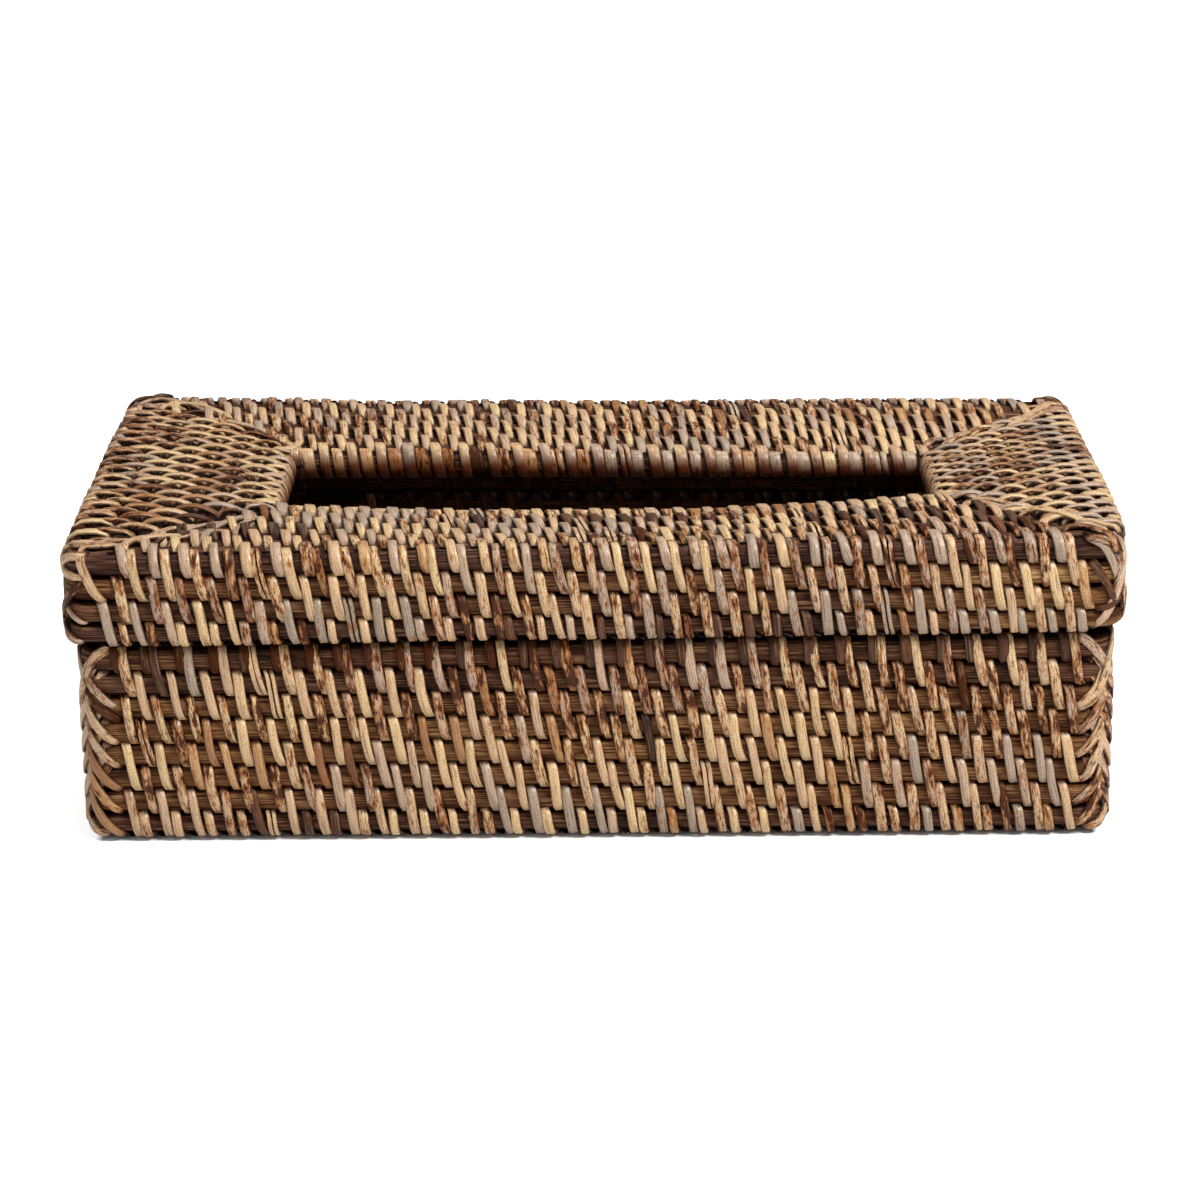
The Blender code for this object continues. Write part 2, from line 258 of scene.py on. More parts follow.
def uneven(x, y):
    """Lift of the lid's top at a place, between the lines of UNEVEN_TOP."""
    lines = [MM * np.interp(x / MM, *np.array(line).T) for _, line in UNEVEN_TOP]
    places = [place_y * MM for place_y, _ in UNEVEN_TOP]
    lift = np.where(y < places[0], lines[0], lines[-1])
    for near, far, first, second in zip(places, places[1:], lines, lines[1:]):
        share = (y - near) / (far - near)
        lift = np.where((share >= 0.0) & (share <= 1.0), first + (second - first) * share, lift)
    return lift


def settled(points, body):
    """The hand-made twist and unevenness of the whole box, none at the floor and most at the top."""
    half_x, half_y, height = cad_bounds[1]
    x, y, z = points[..., 0], points[..., 1], points[..., 2]
    moved = points.copy()
    share = np.clip(z / height, 0.0, 1.1)
    wave = HEIGHT_WAVE * np.sin(x * 61.0 + 0.7) * np.cos(y * 43.0 + 0.4)
    moved[..., 2] += share * (wave - TWIST * (x / half_x) * (y / half_y) - FRONT_RISE * y / half_y)
    if body == "lid":
        moved[..., 2] += HEM_RISE * np.interp(z, (SKIRT_LOW, height), (1.0, 0.0))
        moved[..., 2] += uneven(x, y) * np.interp(z, (SKIRT_GAPS[2], TOP - SAG), (0.0, 1.0))
    else:
        moved[..., 2] += np.interp(z, (0.0, WALL_GAPS[-2], WALL_GAPS[-1]), (0.0, WALL_SINKING, RIM_RISE))
    moved[..., 0] *= LENGTH_SHARE
    moved[..., 1] += share * BREADTH_WAVE * np.sin(x * 37.0 + 2.1)
    return moved


class Pile:
    """Bars laid so far that make one piece."""

    def __init__(self):
        self.points, self.loops, self.starts, self.uvs, self.grades = [], [], [], [], []
        self.vertex_count = self.loop_count = 0

    def add(self, bar, points, uvs, grades):
        """points (copies, vertices, 3), uvs (copies, vertices, 2), grades (copies, vertices, 4)."""
        copies, count = points.shape[:2]
        shift = np.arange(copies)[:, None]
        self.points.append(points.reshape(-1, 3))
        self.uvs.append(uvs.reshape(-1, 2))
        self.grades.append(grades.reshape(-1, 4))
        self.loops.append((bar.loops[None] + shift * count + self.vertex_count).reshape(-1))
        self.starts.append((bar.starts[None] + shift * len(bar.loops) + self.loop_count).reshape(-1))
        self.vertex_count += copies * count
        self.loop_count += copies * len(bar.loops)

    def build(self, name, body, look, replaced=()):
        """Makes the piece. Its look is a name, which is not used, and its material."""
        slot, material = look
        points = settled(np.concatenate(self.points), body)
        loops, starts = (np.concatenate(parts).astype(np.int32) for parts in (self.loops, self.starts))
        mesh = bpy.data.meshes.new(name)
        corners, sides = mesh.loops, mesh.polygons
        for kind, what, values in ((mesh.vertices, "co", points.astype(np.float32)),
                                   (corners, "vertex_index", loops), (sides, "loop_start", starts)):
            kind.add(len(values))
            kind.foreach_set(what, values.reshape(-1))
        mesh.update(calc_edges=True)
        layer = mesh.uv_layers.new(name="lay")
        layer.data.foreach_set("uv", np.concatenate(self.uvs)[loops].reshape(-1).astype(np.float32))
        grade = mesh.color_attributes.new(name="grade", type="FLOAT_COLOR", domain="POINT")
        grade.data.foreach_set("color", np.concatenate(self.grades).reshape(-1).astype(np.float32))
        mesh.materials.append(material)
        piece = add_object(name, mesh)
        deselect()
        piece.select_set(True)
        bpy.context.view_layer.objects.active = piece
        bpy.ops.object.shade_smooth_by_angle(angle=math.radians(62.0))
        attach(piece, body)
        if replaced:
            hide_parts(*replaced)


def unit(vectors):
    return vectors / np.maximum(np.linalg.norm(vectors, axis=-1, keepdims=True), 1e-12)


def lay(pile, bar, centres, normals, widths, thickness, tones, wear=None, taper=None, shade_along=None):
    """Bends one copy of the bar along each row of centres (copies, stations + 1, 3), back down on them. The
    last argument gives the place along of each station for the painted shade at tucked-in ends."""
    copies = len(centres)
    at = bar.station
    tangents = unit(np.gradient(centres, axis=1))
    sides = unit(np.cross(normals, tangents))
    outs = unit(np.cross(tangents, sides))
    across = bar.across[None, :, None] * widths[:, None, None]
    if taper is not None:
        across = across * taper[at][None, :, None]
    points = centres[:, at] + sides[:, at] * across + outs[:, at] * (bar.height * thickness)[None, :, None]
    steps = np.linalg.norm(np.diff(centres, axis=1), axis=2)
    run = np.concatenate([np.zeros((copies, 1)), np.cumsum(steps, axis=1)], axis=1)
    uvs = np.stack([across[..., 0] / MM, run[:, at] / MM + random.uniform(0.0, 900.0, (copies, 1))], axis=-1)
    tones = tones[:, at] if tones.ndim == 2 else tones[:, None]
    wear = (random.uniform(0.0, 1.0, copies) if wear is None else wear)[:, None]
    shade_along = (bar.shares if shade_along is None else shade_along)[at]
    pile.add(bar, points, uvs, np.stack(np.broadcast_arrays(tones, wear, bar.across + 0.5, shade_along), axis=-1))


def lay_one(pile, bar, points, normals, width, thickness, tone, wear=None, taper=None, shade_along=None):
    """Bends a single copy of the bar along points."""
    lay(pile, bar, points[None], normals[None], np.array([width]), thickness, np.array([tone]),
        wear if wear is None else np.array([wear]), taper, shade_along)


def run_along(points):
    """How far along a path each of its points is."""
    return np.concatenate([[0.0], np.cumsum(np.linalg.norm(np.diff(points, axis=0), axis=1))])


def smooth_path(points, shares):
    """A curve through the points, read at those shares of its length."""
    points = np.array(points, float)
    ends = np.concatenate([2 * points[:1] - points[1:2], points, 2 * points[-1:] - points[-2:-1]])
    fine = []
    for a, b, c, d in zip(ends, ends[1:], ends[2:], ends[3:]):
        t = np.linspace(0.0, 1.0, 12, endpoint=False)[:, None]
        bend = (2 * a - 5 * b + 4 * c - d) * t**2 + (3 * b - a - 3 * c + d) * t**3
        fine.append(0.5 * (2 * b + (c - a) * t + bend))
    fine = np.concatenate(fine + [points[-1:]])
    run = run_along(fine)
    return np.stack([np.interp(shares * run[-1], run, column) for column in fine.T], axis=1)


def place(side, half, along, inset, height):
    """Points from a side's own measures: along the side, in from its outer face, and up."""
    (ax, ay), (ix, iy) = SIDES[side]
    along, inset, height = np.broadcast_arrays(along, inset, height)
    return np.stack([ax * along - ix * (half - inset), ay * along - iy * (half - inset), height], axis=-1)


def direction(side, inwards, upwards):
    (ix, iy) = SIDES[side][1]
    inwards, upwards = np.broadcast_arrays(inwards, upwards)
    return np.stack([ix * inwards, iy * inwards, upwards], axis=-1)


def neighbour(side, step):
    return SIDE_NAMES[(SIDE_NAMES.index(side) + step) % 4]


def half_of(node_name, side):
    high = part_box(node_name)[1]
    return high.x if side in SHORT_SIDES else high.y


# Heights of the gaps between canes, from the frame, and the lie of the top
SKIRT_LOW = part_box("skirt_cane_4")[0].z
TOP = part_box(SKIRT)[1].z
SKIRT_GAPS = [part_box(f"skirt_cane_{number}")[0].z for number in range(SKIRT_COURSES, 0, -1)] + [TOP]
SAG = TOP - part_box("slot_rim_cane")[1].z
WALL_GAPS = [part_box(f"wall_cane_{number + 1}")[0].z for number in range(WALL_COURSES)]
WALL_GAPS.append(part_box(f"wall_cane_{WALL_COURSES}")[1].z)
COLLAR_LOW, COLLAR_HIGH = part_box(COLLAR)[0].z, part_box("collar_cane_2")[1].z
# From the middle of the box to the outer face of each wall's sides
HALVES = {wall: {side: half_of(wall, side) for side in SIDES} for wall in (WALL, SKIRT, COLLAR)}
LID_HALF = HALVES[SKIRT]


def top_span(side):
    """Inset of the top's outer edge and of its inner edge, from the skirt's outer face."""
    first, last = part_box(f"top_cane_{side}_1"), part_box(f"top_cane_{side}_{TOP_COURSES}")
    axis = 0 if side in SHORT_SIDES else 1
    if side in ("right", "back"):
        return LID_HALF[side] - first[1][axis], LID_HALF[side] - last[0][axis]
    return LID_HALF[side] + first[0][axis], LID_HALF[side] + last[1][axis]


TOP_SPANS = {side: top_span(side) for side in SIDES}


def inset_at(side, course):
    outer, inner = TOP_SPANS[side]
    return outer + (inner - outer) * course / TOP_COURSES


def sag_at(course):
    return SAG * (np.clip(course, 0.0, TOP_COURSES) / TOP_COURSES) ** SAG_POWER


def mitre_limits(side, course):
    """The two places along a side where the mitres cut it at that course."""
    before, after = neighbour(side, -1), neighbour(side, 1)
    return inset_at(before, course) - LID_HALF[before], LID_HALF[after] - inset_at(after, course)


def wall_limits(wall, side, ends):
    """How far a side's rows of lashing reach, kept clear of the corners."""
    return ends[0] - HALVES[wall][neighbour(side, -1)], HALVES[wall][neighbour(side, 1)] - ends[1]


def row_places(limits, lattice, shift, end=0.0, stray=ROW_STRAY):
    """Places along a row, an end's length short of its limits, on a lattice that the rows of a side share,
    each row with its own shift."""
    pitch, middle = lattice
    first = math.ceil((limits[0] + end - middle) / pitch - shift)
    last = math.floor((limits[1] - end - middle) / pitch - shift)
    places = middle + (np.arange(first, last + 1) + shift) * pitch
    drift = sum(reach * np.sin(places * rate + start) for reach, rate, start in DRIFTS)
    return places + drift + random.normal(0.0, stray, len(places))


# Tones of a strip are a place on the lacing's colour ramp: pinkish grey, tan, rust and dark brown
TONES = ((0.04, 0.34), (0.36, 0.68), (0.71, 0.80), (0.86, 1.0))
# Mixes: the share of each tone among a row's strips
PLAIN = (0.24, 0.68, 0.04, 0.04)
WARM = (0.17, 0.68, 0.10, 0.05)
ROSY = (0.50, 0.40, 0.04, 0.06)
GREYED = (0.64, 0.18, 0.15, 0.03)
BARK = (0.04, 0.14, 0.58, 0.24)
CLEAN = (0.30, 0.68, 0.02, 0.0)
PATCHY = (0.32, 0.55, 0.04, 0.09)
DULL = (0.0, 0.0, 0.12, 0.88)
GOLDEN = (0.10, 0.36, 0.40, 0.14)
SHADED = (0.60, 0.28, 0.05, 0.07)
HEM = (0.30, 0.26, 0.08, 0.36)
CORNER = (0.32, 0.56, 0.08, 0.04)
INSIDE = (0.0, 0.08, 0.12, 0.80)
TOP_MIXES = {"front": PATCHY, "right": GREYED, "back": CLEAN, "left": CLEAN}
# Rows of the top that differ: a brown band down the middle of both panels, and a dark row at the back
TOP_BANDS = {("left", 2): (0.36, 0.32, 0.30, 0.02), ("left", 3): (0.24, 0.20, 0.50, 0.06),
             ("right", 2): (0.40, 0.26, 0.32, 0.02), ("back", 1): (0.30, 0.50, 0.04, 0.16)}
# How high the strips of each row of the top arch, from the outermost row in
TOP_RISES = (0.8, 1.0, 1.25, 1.4, 1.4, 1.4)
# How the strips inside the box are laid, thin and flat
HIDDEN = {"lean": LEAN, "mix": INSIDE, "thickness": INNER_THICKNESS, "rise": 0.0}


def strip_tones(count, mix):
    """Tone and wear of each strip: two to eight neighbours cut from one length of peel are alike, but for a
    stray one among them now and then."""
    tones, wear = [], []
    while len(tones) < count:
        low, high = TONES[random.choice(4, p=mix)]
        tone, worn = random.uniform(low, high), random.uniform() ** 1.35
        for _ in range(random.integers(2, 9)):
            stray = random.uniform() < 0.22
            near, far = TONES[random.choice(4, p=mix)] if stray else (tone, tone)
            tones.append(np.clip(random.uniform(near, far) + random.normal(0.0, 0.025), 0.0, 1.0))
            wear.append(np.clip(worn + random.normal(0.0, 0.22), 0.0, 1.0))
    return np.array(tones[:count]), np.array(wear[:count])


def lay_row(pile, wall, side, profile, places, lean, mix, width=STRIP_WIDTH, thickness=STRIP_THICKNESS,
            rise=1.0, shade_along=None, wearing=1.0):
    """A row of strips that all follow one profile, (inset, height) points on the canes' surface. wearing is
    how worn they are beside others."""
    count = len(places)
    if not count:
        return
    share = STRIP.shares
    path = smooth_path(profile, share)
    slope = np.gradient(path, axis=0)
    normal = unit(np.stack([slope[:, 1], -slope[:, 0]], axis=1))
    length = np.linalg.norm(np.diff(path, axis=0), axis=1).sum()
    arch = np.sin(np.pi * share)[None]
    leans = random.normal(lean, LEAN_STRAY, count)[:, None]
    bow = random.normal(0.0, BOW, count)[:, None] * arch
    # A strip leans more towards its lower end, and both its ends hook into the gaps.
    progress = (0.45 * share + 0.55 * share**2 - 0.5)[None]
    start_hook = np.clip((START_HOOK - share) / START_HOOK, 0.0, 1.0) ** 2
    end_hook = np.clip((share - 1.0 + END_HOOK) / END_HOOK, 0.0, 1.0) ** 2
    hooks = HOOK * (end_hook - start_hook)[None] * np.sign(lean)
    along = places[:, None] + leans * length * progress + bow + hooks
    loose = random.uniform(-0.05, 0.22, count)[:, None] * MM * rise * arch
    inset = path[None, :, 0] + normal[None, :, 0] * loose
    height = path[None, :, 1] + normal[None, :, 1] * loose
    centres = place(side, HALVES[wall][side], along, inset, height)
    normals = np.broadcast_to(direction(side, normal[:, 0], normal[:, 1])[None], centres.shape)
    widths = width * random.uniform(0.86, 1.12, count)
    tones, wear = strip_tones(count, mix)
    wear = np.minimum(wear * wearing, 1.0)
    split = random.uniform(size=count) < SPLIT_SHARE
    whole = ~split
    if whole.any():
        lay(pile, STRIP, centres[whole], normals[whole], widths[whole], thickness, tones[whole], wear[whole],
            shade_along=shade_along)
    if split.any():
        way = np.array(SIDES[side][0] + (0.0,))
        for hand in (-1.0, 1.0):
            # The halves stand further apart at the strip's ends.
            apart = hand * (0.27 + 0.05 * (2.0 * share - 1.0) ** 2) * width
            halves = centres[split] + apart[None, :, None] * way
            lay(pile, STRIP, halves, normals[split], widths[split] * 0.47, thickness, tones[split],
                wear[split], shade_along=shade_along)


# How a strip arches over two canes on edge: share of the way from gap to gap, and mm proud of the crowns
OVER_TWO = ((-0.01, -2.7), (0.02, -1.6), (0.065, -0.6), (0.15, 0.0), (0.30, 0.28), (0.5, 0.36), (0.70, 0.26),
            (0.86, -0.02), (0.94, -0.65), (0.98, -1.6), (1.01, -2.7))
# The same on the top, where strips stand higher
OVER_TOP = ((-0.01, -2.6), (0.025, -1.4), (0.08, -0.4), (0.17, 0.22), (0.32, 0.72), (0.5, 0.92),
            (0.68, 0.72), (0.83, 0.22), (0.92, -0.4), (0.975, -1.4), (1.01, -2.6))


def from_place(inset, height, steps):
    """Points at those steps, in mm, in and up from a place."""
    return [(inset + inwards * MM, height + up * MM) for inwards, up in steps]


def behind(depth, edge, way):
    """Points that bring a strip round a cane's free edge from its back. way is 1 at a top, -1 at a foot."""
    return from_place(depth, edge, ((0.15, -2.2 * way), (0.1, -0.8 * way), (-0.6, 0.05 * way))) + from_place(
        0.0, edge, ((0.9, 0.05 * way),))


def wall_profile(low, high, depth=0.0, over=False, under=False):
    """Down over canes on edge from gap to gap, brought over the top edge or under the foot where those are
    free."""
    shape = [(-proud * MM, high - share * (high - low)) for share, proud in OVER_TWO]
    if over:
        shape = behind(depth, high - WRAP, 1.0) + shape[3:]
    if under:
        shape = shape[:-3] + behind(depth, low + WRAP, -1.0)[::-1]
    return shape


def top_points(side, first, steps):
    """Points at those steps, (courses in from the first one, mm above the top canes)."""
    return [(inset_at(side, first + course), TOP - sag_at(first + course) + lift * MM)
            for course, lift in steps]


def top_profile(side, first, rise):
    """Over two flat canes of the top, from the gap on their inner side to the one on their outer side."""
    outer = first + (0.12 if first == 0 else 0.0)
    span = first + 2.0 - outer
    return top_points(side, outer, [(span * (1.0 - share), proud * (rise if proud > 0.0 else 1.0))
                                    for share, proud in OVER_TOP])


def crest_profile(side):
    """From behind the outermost top cane, over it, over the rounded edge and down the first skirt cane."""
    return top_points(side, 0.0, ((1.01, -2.6), (0.97, -1.4), (0.88, -0.4), (0.72, 0.2), (0.42, 0.55),
                                  (0.08, 0.55))) + from_place(
        0.0, TOP, ((2.2, 0.4), (0.7, -0.25), (-0.1, -1.7), (-0.35, -3.4))) + from_place(
        0.0, SKIRT_GAPS[-2], ((0.1, 1.2), (0.8, 0.4), (1.8, 0.1), (2.7, 0.0)))


def brow_profile():
    """From behind the rounded edge down over the first two skirt canes."""
    over_edge = from_place(0.0, TOP, ((3.6, -1.9), (3.4, -0.5), (2.7, 0.3), (1.5, 0.25), (0.35, -0.7)))
    return over_edge + wall_profile(SKIRT_GAPS[-3], TOP)[4:]


def rim_profile(side, whole):
    """Up out of the slot, over its rim, and over the innermost top cane where the strip is a whole one."""
    edge = inset_at(side, TOP_COURSES) - (SLOT_LEFT_REACH if side == "left" else 0.0)
    level = TOP - SAG
    path = from_place(edge, level, ((0.3, -5.7), (1.4, -5.7), (2.3, -4.9), (2.6, -3.3), (2.3, -1.5),
                                    (1.6, -0.1)))
    if whole:
        return path + from_place(edge, level, ((0.5, 0.65),)) + top_points(side, TOP_COURSES, (
            (-0.22, 0.6), (-0.5, 0.4), (-0.78, -0.1), (-0.92, -0.6), (-0.98, -1.4), (-1.01, -2.6)))
    return path + from_place(edge, level, ((1.0, 0.35), (0.2, -0.3), (-0.1, -1.6), (-0.1, -2.6)))


def inner_profile(depth, low, high):
    """Up over the flat backs of two canes, on the inside of a wall."""
    return from_place(depth, low, ((-1.3, 0.0), (-0.25, 0.5), (0.0, 1.6))) + [
        (depth, (low + high) / 2)] + from_place(depth, high, ((0.0, -1.6), (-0.25, -0.5), (-1.3, 0.0)))


def under_profile(side, first):
    """Under two canes of the top, on the inside of the lid, from their outer side to their inner side."""
    return top_points(side, first, ((0.0, -1.6), (0.1, -2.7), (0.3, -2.9), (1.0, -2.95), (1.7, -2.9),
                                    (1.9, -2.7), (2.0, -1.6)))


def ring_path(half_x, half_y, radius, count, start):
    """Points and outward normals round a rounded rectangle, from a corner's middle, so that a cane's two
    ends meet there. Stations are closer together round the corners than along the sides."""
    points, normals = [], []
    for quarter in range(5):
        turn = (start + quarter) % 4
        side_x, side_y = [(1, 1), (-1, 1), (-1, -1), (1, -1)][turn]
        centre = np.array([side_x * (half_x - radius), side_y * (half_y - radius)])
        first, last = (0.5 if quarter == 0 else 0.0), (0.5 if quarter == 4 else 1.0)
        for share in np.linspace(first, last, 9):
            angle = math.radians(90.0) * (turn + share)
            out = np.array([math.cos(angle), math.sin(angle)])
            points.append(centre + radius * out)
            normals.append(out)
    points, normals = np.array(points), np.array(normals)
    steps = run_along(points)
    crowding = (steps / steps[-1] + np.linspace(0.0, 1.0, len(steps))) / 2
    run = np.interp(np.linspace(0.0, 1.0, count + 1), crowding, steps)
    path, out = ([np.interp(run, steps, column) for column in values.T] for values in (points, normals))
    return np.stack(path, axis=1), unit(np.stack(out, axis=1)), run


def waver(run, size):
    """A slow unevenness along a cane."""
    return size * np.sin(run * random.uniform(50.0, 85.0) + random.uniform(0.0, 6.0))


def ring_cane(name, node_name, body, depth, crown, look, start, tone, facing=1.0, trim=(0.0, 0.0),
              pale=0.0):
    """A cane bent round the box on edge, its flat back depth inside the CAD cane's face. trim is what is
    taken off its lower and its upper edge. pale is how much lighter it is near the front right corner."""
    low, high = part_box(node_name)
    if facing < 0:
        low.x -= SLOT_LEFT_REACH
    half_x, half_y = (high.x - low.x) / 2, (high.y - low.y) / 2
    back = depth if facing > 0 else 0.0
    radius = CORNER_RADIUS - (depth if facing > 0 else RIM_CANE / 2)
    path, out, run = ring_path(half_x - back, half_y - back, radius, CANE_STATIONS, start)
    path = path + out * waver(run, CANE_SWAY)[:, None]
    level = (low.z + trim[0] + high.z - trim[1]) / 2 + waver(run, CANE_DIP)
    centres = np.stack([path[:, 0] + (low.x + high.x) / 2, path[:, 1], level], axis=1)
    normals = np.concatenate([out * facing, np.zeros((len(out), 1))], axis=1)
    pile = Pile()
    near = np.exp(-(((path[:, 0] - PALE_PLACE) / PALE_REACH) ** 2)) * (path[:, 1] < 0.0)
    tones = np.clip(tone + pale * near, 0.0, 1.0)
    lay_one(pile, CANE, centres, normals, high.z - low.z - trim[0] - trim[1], crown, tones)
    if node_name == SKIRT:
        pile.grades[-1][:, 2] = np.minimum(pile.grades[-1][:, 2], OPEN_EDGE)
    pile.build(name, body, look, (node_name,))


def top_cane(side, number, look):
    """A flat cane of the lid's top, with both its ends cut along the mitres."""
    share, width, height = SHORT_CANE.shares[SHORT_CANE.station], SHORT_CANE.across, SHORT_CANE.height
    gap = CANE_GAP / 2 / (inset_at(side, 1.0) - inset_at(side, 0.0))
    course = number - 1 + gap + (width + 0.5) * (1.0 - 2.0 * gap)
    low, high = mitre_limits(side, np.maximum(course, 0.72))
    along = low + CANE_GAP + share * (high - low - 2 * CANE_GAP)
    near, far = sag_at(float(number - 1)), sag_at(float(number))
    level = TOP - (near + (far - near) * (course - number + 1)) + waver(along, CANE_DIP)
    points = place(side, LID_HALF[side], along, inset_at(side, course), level - TOP_CANE * (1.0 - height))
    uvs = np.stack([width * 6.0, along / MM + random.uniform(0.0, 900.0)], axis=-1)
    # The end panels' canes get darker tones: painted shade for the gaps under the panels' arched strips.
    tone = random.uniform(*((0.0, 0.10) if side in SHORT_SIDES else (0.08, 0.40)))
    grades = np.stack([np.full(len(share), tone), np.full(len(share), random.uniform()), width + 0.5, share],
                      axis=-1)
    pile = Pile()
    pile.add(SHORT_CANE, points[None], uvs[None], grades[None])
    pile.build(f"lid_top_cane_{side}_{number}", "lid", look, (f"top_cane_{side}_{number}",))


# The corners, anticlockwise as seen from above, and which way each lies from the box's middle
CORNER_NAMES = ["front_right", "back_right", "back_left", "front_left"]
CORNER_SIGNS = [(1, -1), (1, 1), (-1, 1), (-1, -1)]


def corner_surface(node_name, corner, spread, height, lift):
    """Points and normals on a wall's rounded corner. spread is the distance round it from its middle,
    growing to the right as seen from outside."""
    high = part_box(node_name)[1]
    side_x, side_y = CORNER_SIGNS[corner]
    centre = np.array([side_x * (high.x - CORNER_RADIUS), side_y * (high.y - CORNER_RADIUS)])
    half_arc = CORNER_RADIUS * math.pi / 4
    on_arc = np.clip(spread, -half_arc, half_arc)
    angle = math.pi / 2 * (corner - 0.5) + on_arc / CORNER_RADIUS
    out = np.stack([np.cos(angle), np.sin(angle)], axis=-1)
    onwards = np.stack([-np.sin(angle), np.cos(angle)], axis=-1)
    flat = centre + out * (CORNER_RADIUS + lift)[..., None] + onwards * (spread - on_arc)[..., None]
    points = np.concatenate([flat, height[..., None]], axis=-1)
    normals = np.concatenate([out, np.zeros(height.shape + (1,))], axis=-1)
    return points, normals


# How high a corner strand stands along its length: (share, mm proud of the crowns)
FREE_STRAND = ((0.0, -2.2), (0.06, -0.8), (0.16, 0.0), (0.5, 0.15), (0.84, 0.0), (0.94, -0.8), (1.0, -2.2))
WOVEN_STRAND = ((0.0, -2.4), (0.10, -1.2), (0.36, -0.5), (0.55, 0.15), (0.80, 0.30), (0.92, -0.3),
                (1.0, -2.2))


def corner_strand(pile, node_name, corner, route, tone, width, stand=FREE_STRAND, extra=0.0, wear=0.6):
    """A strip laced round an upright corner along a route of (spread, height) points in mm, its ends tucked
    in."""
    share = STRAND.shares
    path = smooth_path(route, share) * MM
    lift = np.interp(share, *np.array(stand).T) + extra * np.sin(np.pi * share)
    points, normals = corner_surface(node_name, corner, path[:, 0], path[:, 1], lift * MM)
    taper = 1.0 - 0.35 * np.clip((share - 0.75) / 0.25, 0.0, 1.0)
    lay_one(pile, STRAND, points, normals, width, STRIP_THICKNESS, tone, wear, taper, STRAND_SHADE_ALONG)


def base_corner(corner, look):
    """Strips laced down an upright corner to both sides in turn. Each comes from beneath the one before,
    crosses the corner steeply and ends further out in the gap between two canes."""
    pile = Pile()
    node_name = "wall_cane_4"
    feet = [gap / MM for gap in WALL_GAPS[-4:0:-1]] + [WALL_GAPS[0] / MM + 0.6]
    top = WALL_GAPS[-1] / MM - 0.9
    tones, wear = strip_tones(2 * len(feet), CORNER)
    for at, foot in enumerate(feet):
        for hand in (1, -1):
            low = foot + (0.0 if hand > 0 else 0.3) + random.normal(0.0, 0.2)
            out = 8.3 + random.normal(0.0, 0.6)
            route = [(-hand * 5.2, low + 19.4), (-hand * 2.6, low + 14.6), (hand * 0.2, low + 10.3),
                     (hand * 3.0, low + 5.4), (hand * (out - 2.6), low + 1.9), (hand * out, low)]
            capped = [(spread, height) for spread, height in route if height < top]
            number = 2 * at + (hand > 0)
            width = STRIP_WIDTH * random.uniform(0.92, 1.12)
            corner_strand(pile, node_name, corner, capped, tones[number], width, WOVEN_STRAND,
                          0.25 * (hand > 0), wear[number])
    # Two strips come over the rim and turn down round the corner, and the last turns in along the foot.
    hand = 1 if corner % 2 == 0 else -1
    for tone, breadth, extra, route in (
            (0.50, 1.0, 0.3, [(8.0, top + 0.6), (4.2, top - 0.6), (1.0, top - 4.6), (-1.0, top - 10.0),
                              (-3.4, top - 15.0), (-8.0, top - 19.0)]),
            (0.28, 1.0, -0.1, [(-8.0, top + 0.6), (-4.6, top - 1.4), (-1.2, top - 5.4), (2.0, top - 9.0),
                               (5.0, top - 12.4), (8.6, top - 15.4)]),
            (0.44, 1.1, 0.1, [(hand * 6.2, 16.0), (hand * 4.4, 10.6), (hand * 2.0, 6.4), (hand * -0.4, 3.4),
                              (hand * -4.2, 1.9)])):
        corner_strand(pile, node_name, corner, route, tone, STRIP_WIDTH * breadth, extra=extra)
    name = CORNER_NAMES[corner]
    pile.build(f"base_corner_lacing_{name}", "base", look, (f"base_corner_binding_{name}",))


# Strands round the lid's corners: tone, breadth, and (spread, height) points in mm, spread from the corner's
# middle to the right
LOOP_CORNER = (
    (0.50, 0.95, ((5.4, 78.0), (2.0, 78.2), (-0.9, 76.9), (-2.4, 74.8), (-1.2, 73.2), (1.6, 72.7),
                  (5.2, 72.4))),
    (0.46, 1.00, ((3.4, 78.6), (4.6, 74.4), (6.6, 69.4), (9.4, 65.6))),
    (0.72, 0.85, ((5.2, 72.0), (1.4, 68.6), (-2.2, 63.8), (-3.8, 60.0), (-1.0, 56.6), (2.2, 54.2))),
    (0.20, 0.55, ((-1.6, 64.4), (0.2, 62.8), (1.8, 61.4), (4.2, 59.9))),
    (0.16, 0.80, ((-4.4, 57.6), (-2.2, 56.4), (0.0, 55.4), (2.6, 54.4))),
    (0.40, 0.90, ((-8.2, 72.2), (-5.6, 69.0), (-4.0, 65.4), (-3.6, 62.0), (-4.6, 59.6))),
    (0.26, 0.90, ((-9.0, 65.8), (-6.4, 62.0), (-4.9, 58.2), (-5.6, 54.6))),
)
SWEEP_CORNER = (
    (0.08, 0.85, ((-8.6, 78.4), (-5.2, 76.8), (-2.8, 72.6), (-1.6, 69.4), (-0.6, 66.4))),
    (0.12, 0.90, ((-9.6, 78.6), (-5.6, 78.3), (-2.8, 76.4), (-1.0, 73.0), (-0.4, 68.9), (-1.5, 64.4))),
    (0.90, 0.85, ((-7.6, 72.4), (-4.6, 67.8), (-2.6, 63.6), (-1.0, 60.0))),
    (0.34, 1.00, ((-1.6, 78.5), (0.6, 75.4), (1.7, 71.0), (0.2, 67.1), (-1.9, 62.2), (-4.1, 57.7),
                  (-7.0, 54.4))),
    (0.88, 0.70, ((0.2, 62.4), (-2.0, 61.0), (-4.0, 60.2), (-6.4, 60.0))),
    (0.42, 0.90, ((8.0, 72.2), (5.2, 68.6), (3.4, 64.6), (2.6, 60.6), (3.6, 57.4))),
    (0.22, 0.90, ((8.8, 65.9), (6.2, 62.4), (3.8, 58.6), (2.2, 54.8))),
)


